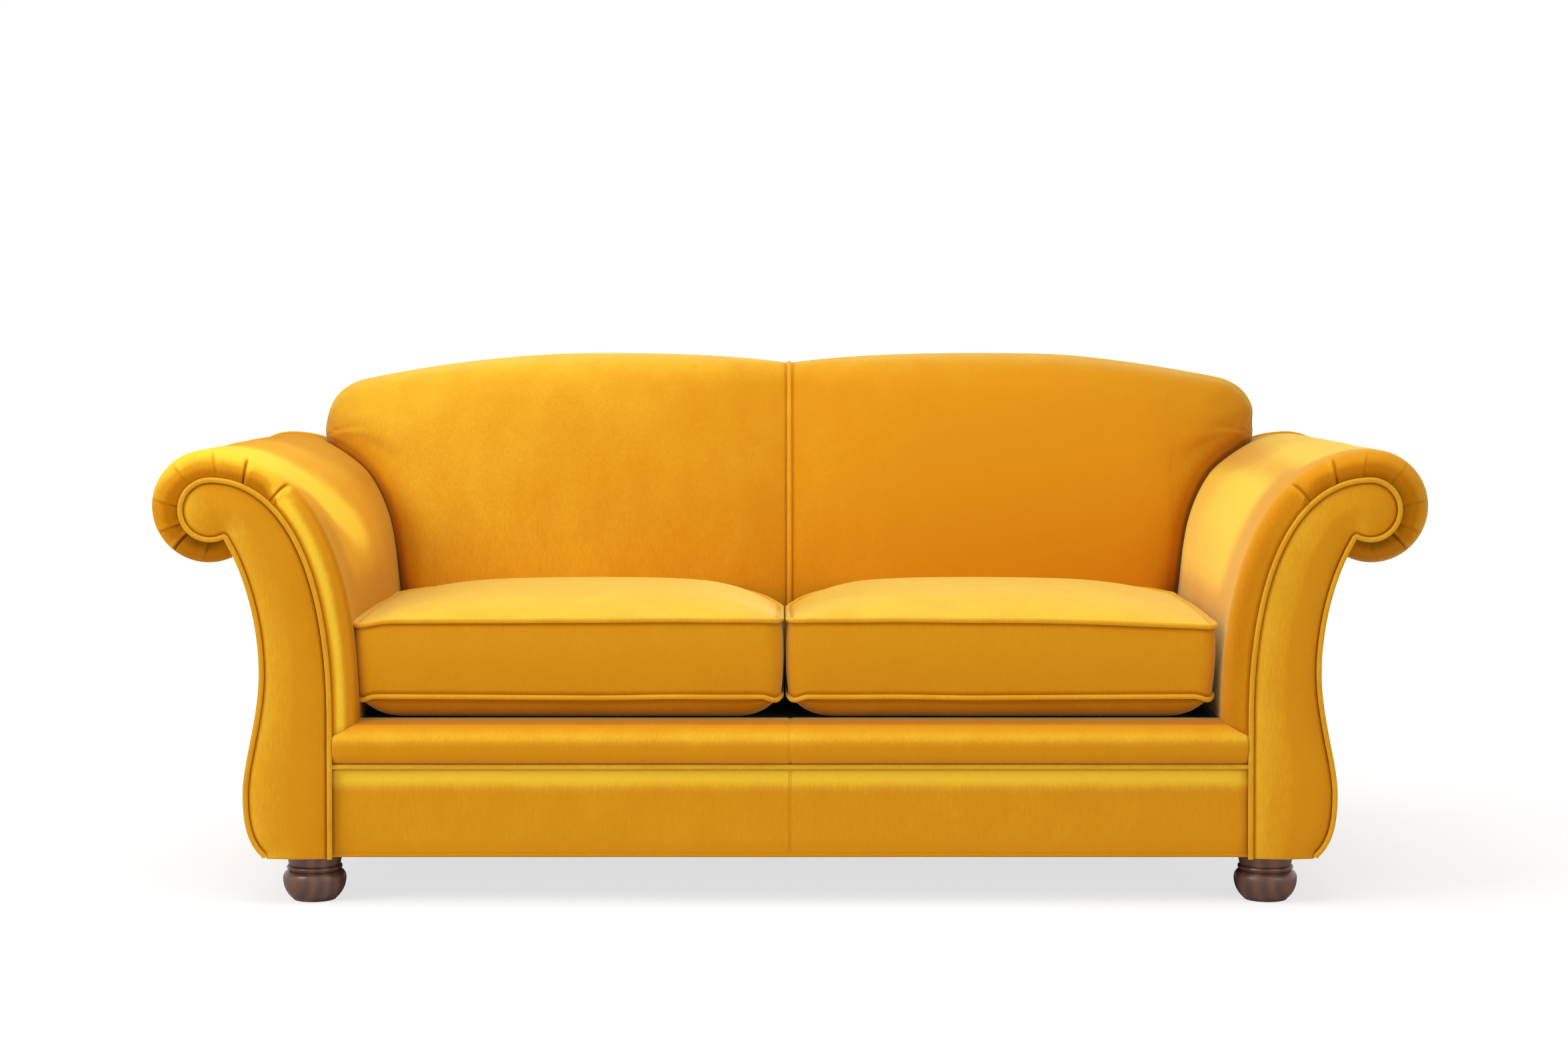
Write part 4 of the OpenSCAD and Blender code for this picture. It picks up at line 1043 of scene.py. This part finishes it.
def buildDeck():
    xs = np.linspace(-deck["halfWidth"], deck["halfWidth"], 130)
    ys = np.linspace(yAt(deck["start"]), yAt(sofa["postDepth"] - deck["endGap"]), 80)
    grid = np.array([[[x, y, sofa["deckZ"] - 0.0004] for y in ys] for x in xs])
    edge = deck["edge"] * np.exp(-(ys - ys[0]) / 0.006)[None, :]
    grid[:, :, 2] -= deck["sag"] * (0.5 + softNoise(grid, 0.14, 8)) + edge
    return gridSheet("seatDeck", grid)


seatDeck = buildDeck()
thicken(seatDeck, (0, 0, sofa["deckZ"]), (0, 0, 1), deck["thickness"])
dress(seatDeck, "sofa", "dust_cloth", "deck_cloth", "deck_foam")
print("seat front and deck made")


# The outside back and its welt
outsideBack = {"thickness": 0.003, "rimIn": 0.012, "edge": 0.0012, "cordR": 0.0038, "cordBehind": 0.0010}


def outsideOutline():
    scroll, flank = armScroll(0, sofa["frameDepth"]), armFlank(0, sofa["frameDepth"])
    rim = [[x, z - outsideBack["rimIn"]] for x, z in backLine() if 0.02 < x < back["halfX"] - 0.004]
    outer = [[sofa["padX"] + x, z] for x, z in scroll if x > back["reach"] - 0.004]
    half = [[sofa["padX"] + x, z] for x, z in flank[::-1]] + outer[::-1] + rim[::-1]
    return np.array(half + [[-x, z] for x, z in half[::-1]])


backY = yAt(sofa["frameDepth"])
outsidePanel = outlinePlate("outsideBack", outsideOutline(), backY + 0.0002, backY + outsideBack["thickness"])
applyModifier(outsidePanel, "BEVEL", width=outsideBack["edge"], segments=2, limit_method="ANGLE",
              angle_limit=math.radians(50))
facesOutwards(outsidePanel)
shadeSmooth(outsidePanel, 30)
dress(outsidePanel, "sofa", "velvet", "outside_back")
outsideRoute = [(x, backY + outsideBack["cordBehind"], z) for x, z in evenPath(outsideOutline(), 0.006)[1:-1]]
outsideWelt = cordPiece("outsideWelt", outsideRoute, outsideBack["cordR"])
# A painted highlight, the same all over the welt
paintLightAndShade(outsideWelt, 0.3)
dress(outsideWelt, "sofa", "piping")
print("outside back made")


# Seat cushions: the right one is built about its own middle, and the left one is its mirror image
cushion = {
    "halfX": 0.3515, "halfY": 0.3035, "cornerR": 0.032, "centres": {"right": 0.3498, "left": -0.3673},
    "centreY": yAt(0.3375), "columns": 84, "rows": 72, "borderRows": 20, "easing": 0.86, "puffCap": 0.008,
    "top": {"z": 0.463, "rise": 0.025, "tight": 0, "runsX": (0.150, 0.240), "runY": 0.165,
            "power": 2.3, "ear": 1},
    "bottom": {"z": 0.337, "rise": -0.0362, "tight": 0.004, "runsX": (0.085, 0.085), "runY": 0.042,
               "power": 3.0, "ear": 0.4},
    "ear": 0.0030, "earRun": 0.024, "wave": 0.0024, "bulge": 0.0045, "bulgePower": 0.7,
    "sink": 0.038, "sinkRun": 0.065, "outerSink": 0.013, "outerSinkRun": 0.110,
    "droops": {"right": (0.008, 0.15), "left": (0.006, 0.82)}, "cordR": 0.0041, "cordOut": 0.0018,
    "topPaintedLight": 0.62, "borderLightAndShade": 0.22, "bottomPaintedShade": -0.45, "weltDark": -1.7,
}


def roundedGrid(u, v, halfX, halfY, r):
    # Moves the points of a square grid on to a rectangle with round corners
    x, y = u * halfX, v * halfY
    a, b = np.abs(x) - (halfX - r), np.abs(y) - (halfY - r)
    corner = (a > 0) & (b > 0)
    a, b = np.where(corner, a / r, 0), np.where(corner, b / r, 0)
    x = np.where(corner, np.sign(x) * (halfX - r + a * np.sqrt(1 - b ** 2 / 2) * r), x)
    y = np.where(corner, np.sign(y) * (halfY - r + b * np.sqrt(1 - a ** 2 / 2) * r), y)
    return x, y


def cushionPanel(u, v, form):
    # The top or bottom panel over a square grid, and how full it is at each point
    tight = form["tight"]
    halfX, halfY = cushion["halfX"] - tight / 2, cushion["halfY"] - tight * 0.4
    x, y = roundedGrid(u, v, halfX, halfY, cushion["cornerR"])
    fromSide, fromEnd = halfX - np.abs(x), halfY - np.abs(y)
    runX = mix(*form["runsX"], smoothStep(-0.05, 0.05, x))
    full = 1 - (1 - np.clip(fromSide / runX, 0, 1)) ** form["power"]
    full *= 1 - (1 - np.clip(fromEnd / form["runY"], 0, 1)) ** form["power"]
    ear = cushion["ear"] * bell(np.hypot(fromSide, fromEnd), 0, cushion["earRun"]) * form["ear"]
    wave = cushion["wave"] * softNoise(np.stack([x, y, 0 * x + form["z"]], axis=-1), 0.17, 12)
    wave *= bell(np.minimum(fromSide, fromEnd), 0, 0.03)
    x, y = x + np.sign(x) * ear - tight / 2, y + np.sign(y) * ear
    z = form["z"] + form["rise"] * full - ear + wave
    if form["rise"] > 0:
        # The tops of the two cushions sink towards each other and the arms at the back
        inwards, outwards = np.clip(halfX + x, 0, 1), np.clip(halfX - x, 0, 1)
        sink = cushion["sink"] * np.exp(-inwards / cushion["sinkRun"])
        sink += cushion["outerSink"] * np.exp(-outwards / cushion["outerSinkRun"])
        z -= sink * smoothStep(-0.28, 0.26, y)
    return np.stack([x, y, z], axis=-1), full


def buildCushion():
    columns, rows, border = cushion["columns"], cushion["rows"], cushion["borderRows"]
    quarter = math.pi / 2 * cushion["easing"]
    steps = [np.sin(np.linspace(-1, 1, count + 1) * quarter) / math.sin(quarter) for count in (columns, rows)]
    u, v = np.meshgrid(*steps, indexing="ij")
    topPoints, _ = cushionPanel(u, v, cushion["top"])
    bottomPoints, bottomFull = cushionPanel(u, v, cushion["bottom"])
    points = list(np.vstack([topPoints.reshape(-1, 3), bottomPoints.reshape(-1, 3)]))
    t = np.arange(u.size).reshape(u.shape)
    b = t + u.size
    faces = []
    for i in range(columns):
        for j in range(rows):
            faces.append((t[i, j], t[i + 1, j], t[i + 1, j + 1], t[i, j + 1]))
            faces.append((b[i, j], b[i, j + 1], b[i + 1, j + 1], b[i + 1, j]))
    rim = [(i, 0) for i in range(columns)] + [(columns, j) for j in range(rows)] \
        + [(i, rows) for i in range(columns, 0, -1)] + [(0, j) for j in range(rows, 0, -1)]
    upper, lower = [t[p] for p in rim], [b[p] for p in rim]
    levels = [upper]
    flatFrom = np.array([cushion["halfX"], cushion["halfY"]]) - cushion["cornerR"]
    for k in range(1, border):
        share = 0.5 - 0.5 * math.cos(math.pi * k / border)
        bulge = cushion["bulge"] * math.sin(math.pi * share) ** cushion["bulgePower"]
        levels.append(list(range(len(points), len(points) + len(rim))))
        for first, last in zip(upper, lower):
            high, low = points[first], points[last]
            outwards = np.append(np.where(np.abs(high[:2]) > flatFrom, np.sign(high[:2]), 0), 0)
            outwards /= max(np.linalg.norm(outwards), 1e-9)
            points.append(mix(high, low, share) + outwards * bulge)
    levels.append(lower)
    for above, below in zip(levels[:-1], levels[1:]):
        for k in range(len(rim)):
            after = (k + 1) % len(rim)
            faces.append((above[k], below[k], below[after], above[after]))
    held = np.zeros(len(points), bool)
    held[upper] = held[lower] = held[b[bottomFull > 0.97]] = True
    return meshPiece("seatCushionRight", points, faces), held, upper, lower


def clearOfArm(points):
    # Keeps a cushion off the faces of both arms and off the deck
    z = np.clip(points[:, 2], sofa["deckZ"] + 0.01, 0.70)
    pad = armScroll(0, 0.30)[2:2 + len(padSteps)]
    limit = sofa["padX"] + np.interp(z, pad[:, 1], pad[:, 0]) - 0.0012
    limit -= arm["fullness"] * smoothStep(*arm["fullnessZ"][:2], z) * 0.6
    points[:, 0] = np.clip(points[:, 0], -limit, limit)
    points[:, 2] = np.maximum(points[:, 2], sofa["deckZ"] + 0.0004)
    return points


def cushionLightAndShade(points):
    # The points of the top come first, then those of the bottom and of the border
    index, layer = np.arange(len(points)), (cushion["columns"] + 1) * (cushion["rows"] + 1)
    upper, beneath = index < layer, (index >= layer) & (index < 2 * layer)
    fall = smoothStep(0.35, 0.45, points[:, 2]) - 0.6
    seam = np.minimum(*(distanceTo(points[line + line[:1]], points) for line in (upperSeam, lowerSeam)))
    # Painted light on the top, the border painted lighter near the top and shaded lower down, painted shade
    # on the bottom and beside the welts
    return (cushion["topPaintedLight"] * upper + cushion["borderLightAndShade"] * fall * (1 - upper)
            + cushion["bottomPaintedShade"] * beneath + cushion["weltDark"] * bell(seam, 0.0050, 0.0024))


def buildCushionWelts(points, name):
    cords = []
    for seam in (upperSeam, lowerSeam):
        path = evenPath(points[seam], 0.005, closed=True)
        outward = (path - path.mean(axis=0)) * [1, 1, 0]
        outward /= np.linalg.norm(outward, axis=1, keepdims=True)
        path += outward * cushion["cordOut"]
        cords.append(cordPiece("weltPart", path, cushion["cordR"], closed=True))
    makeActive(cords[0])
    cords[1].select_set(True)
    bpy.ops.object.join()
    cords[0].name = cords[0].data.name = name
    return cords[0]


seatCushion, cushionHeld, upperSeam, lowerSeam = buildCushion()
outwardAt(seatCushion, (0, 0, cushion["top"]["z"] + cushion["top"]["rise"]), (0, 0, 1))
puff(seatCushion, cushionHeld, cushion["puffCap"])
cushionRest = readPoints(seatCushion)
seatCushionLeft = mirroredPiece(seatCushion, "seatCushionLeft")
for side, pad, turned in (("right", seatCushion, 1), ("left", seatCushionLeft, -1)):
    # The outer front corner of the top droops, from a share of the half width on
    amount, start = cushion["droops"][side]
    droop = amount * smoothStep(start, 1, cushionRest[:, 0] / cushion["halfX"])
    droop *= (1 - smoothStep(-0.28, 0.10, cushionRest[:, 1])) * smoothStep(0.37, 0.455, cushionRest[:, 2])
    lowered = cushionRest - droop[:, None] * [0, 0, 1]
    points = clearOfArm(lowered * [turned, 1, 1] + [cushion["centres"][side], cushion["centreY"], 0])
    writePoints(pad, points)
    welt = buildCushionWelts(points, "cushionWelt" + side.title())
    paintLightAndShade(pad, cushionLightAndShade)
    # A painted highlight, the same all over the welts
    paintLightAndShade(welt, 0.4)
    dress(pad, "cushion_" + side, "velvet", "cushion_cover_" + side, "cushion_foam_" + side)
    dress(welt, "cushion_" + side, "piping", "cushion_piping_" + side)
print("cushions made")


# Stitches down the middle of the front, in two rows
stitch = {"length": 0.0034, "gap": 0.0016, "radius": 0.00045, "aside": 0.0042}


def buildStitches():
    bpy.ops.mesh.primitive_uv_sphere_add(segments=6, ring_count=4, radius=1, location=(0, 0, 0))
    bead = bpy.context.view_layer.objects.active
    beadPoints, beadFaces = readPoints(bead), [tuple(f.vertices) for f in bead.data.polygons]
    bpy.data.objects.remove(bead)
    overLip = [(d - 0.0006, z) for d, z in lipProfile()[2:-2]]
    downPanel = [(panel["depth"] - 0.0004, z) for z in (panel["topZ"] - 0.004, sofa["hemZ"] + 0.006)]
    points, faces = [], []
    for profile in (overLip, downPanel):
        run = evenPath(profile, stitch["length"] + stitch["gap"])
        for first, last in zip(run[:-1], run[1:]):
            middle, along = (first + last) / 2, (last - first) / np.linalg.norm(last - first)
            for side in (-1, 1):
                faces += [tuple(len(points) + i for i in face) for face in beadFaces]
                for x, y, z in beadPoints * [stitch["radius"], stitch["radius"], stitch["length"] / 2]:
                    points.append((side * stitch["aside"] / 2 + x,
                                   yAt(middle[0] + along[0] * z) + along[1] * y,
                                   middle[1] + along[1] * z - along[0] * y))
    return meshPiece("frontStitches", points, faces)


frontStitches = buildStitches()
facesOutwards(frontStitches)
dress(frontStitches, "sofa", "piping")
print("stitches made")


# Camera, lights and floor
camera = {"place": (-0.010, -5.4475, 1.012), "tilt": 1.2, "lens": 70.38, "shiftY": -0.1092}
cameraData = bpy.data.cameras.new("frontCamera")
cameraData.lens = camera["lens"]
cameraData.sensor_width = 36
cameraData.shift_y = camera["shiftY"]
frontCamera = linked("frontCamera", cameraData)
frontCamera.location = camera["place"]
frontCamera.rotation_euler = (math.radians(90 - camera["tilt"]), 0, 0)
bpy.context.scene.camera = frontCamera

lamps = {
    "above": {"place": (-0.3, -0.5, 3.4), "target": (0, 0.05, 0.4), "size": (3.6, 2.4), "power": 82},
    "key": {"place": (-3.4, -2.5, 2.9), "target": (0.1, 0, 0.5), "size": (1.8, 1.8), "power": 80},
    "fill": {"place": (3.4, -3.4, 1.9), "target": (0, 0, 0.5), "size": (2.4, 2.4), "power": 32},
    "behind": {"place": (0, 3.2, 2.6), "target": (0, 0, 0.5), "size": (3.0, 1.6), "power": 40},
}
for name, values in lamps.items():
    light = bpy.data.lights.new(name + "Lamp", "AREA")
    light.shape = "RECTANGLE"
    light.size, light.size_y = values["size"]
    light.energy = values["power"]
    lamp = linked(name + "Lamp", light)
    lamp.location = values["place"]
    towards = Vector(values["target"]) - Vector(values["place"])
    lamp.rotation_euler = towards.to_track_quat("-Z", "Y").to_euler()

# The white world is seen in full, and lights the sofa with a share of it
studio = {
    "ambient": 0.34, "floorSize": 60, "floor": 0.80, "seenFloor": 0.32, "glow": 0.71, "farGlow": 0.29,
    "farFrom": 1.6, "farTo": 6.0,
}
world = bpy.data.worlds.new("studio")
bpy.context.scene.world = world
world.use_nodes = True
worldTree = world.node_tree
rays = addNode(worldTree, "LightPath").outputs
seen = mathNode(worldTree, "MAXIMUM", rays["Is Camera Ray"],
                mathNode(worldTree, "MAXIMUM", rays["Is Glossy Ray"], rays["Is Transmission Ray"]))
worldShader = worldTree.nodes["Background"]
feed(worldTree, worldShader.inputs["Color"], white)
feed(worldTree, worldShader.inputs["Strength"],
     plus(worldTree, times(worldTree, seen, 1 - studio["ambient"]), studio["ambient"]))

# Seen by the camera, the floor keeps only a share of its light and shade, and goes to plain white further off
reach = studio["floorSize"]
corners = [(-reach, -reach, 0), (reach, -reach, 0), (reach, reach, 0), (-reach, reach, 0)]
floorPlane = meshPiece("studioFloor", corners, [(0, 1, 2, 3)], smooth=False)
floorMaterial, floorTree, floorShader = newMaterial("paleFloor")
floorSeen = addNode(floorTree, "LightPath").outputs["Is Camera Ray"]
floorFar = addNode(floorTree, "VectorMath", {"operation": "LENGTH"})
feed(floorTree, floorFar.inputs[0], addNode(floorTree, "TexCoord").outputs["Object"])
away = spread(floorTree, floorFar.outputs["Value"], studio["farFrom"], studio["farTo"])
greys = [(studio[key],) * 3 + (1,) for key in ("floor", "seenFloor")]
glow = plus(floorTree, studio["glow"], times(floorTree, away, studio["farGlow"]))
feed(floorTree, floorShader.inputs["Base Color"], mixColours(floorTree, floorSeen, *greys))
feed(floorTree, floorShader.inputs["Emission Strength"], times(floorTree, floorSeen, glow))
setShader(floorShader, Emission_Color=white, Roughness=0.9, Specular_IOR_Level=0.1)
floorPlane.data.materials.append(floorMaterial)

bpy.context.scene.view_settings.view_transform = "Standard"
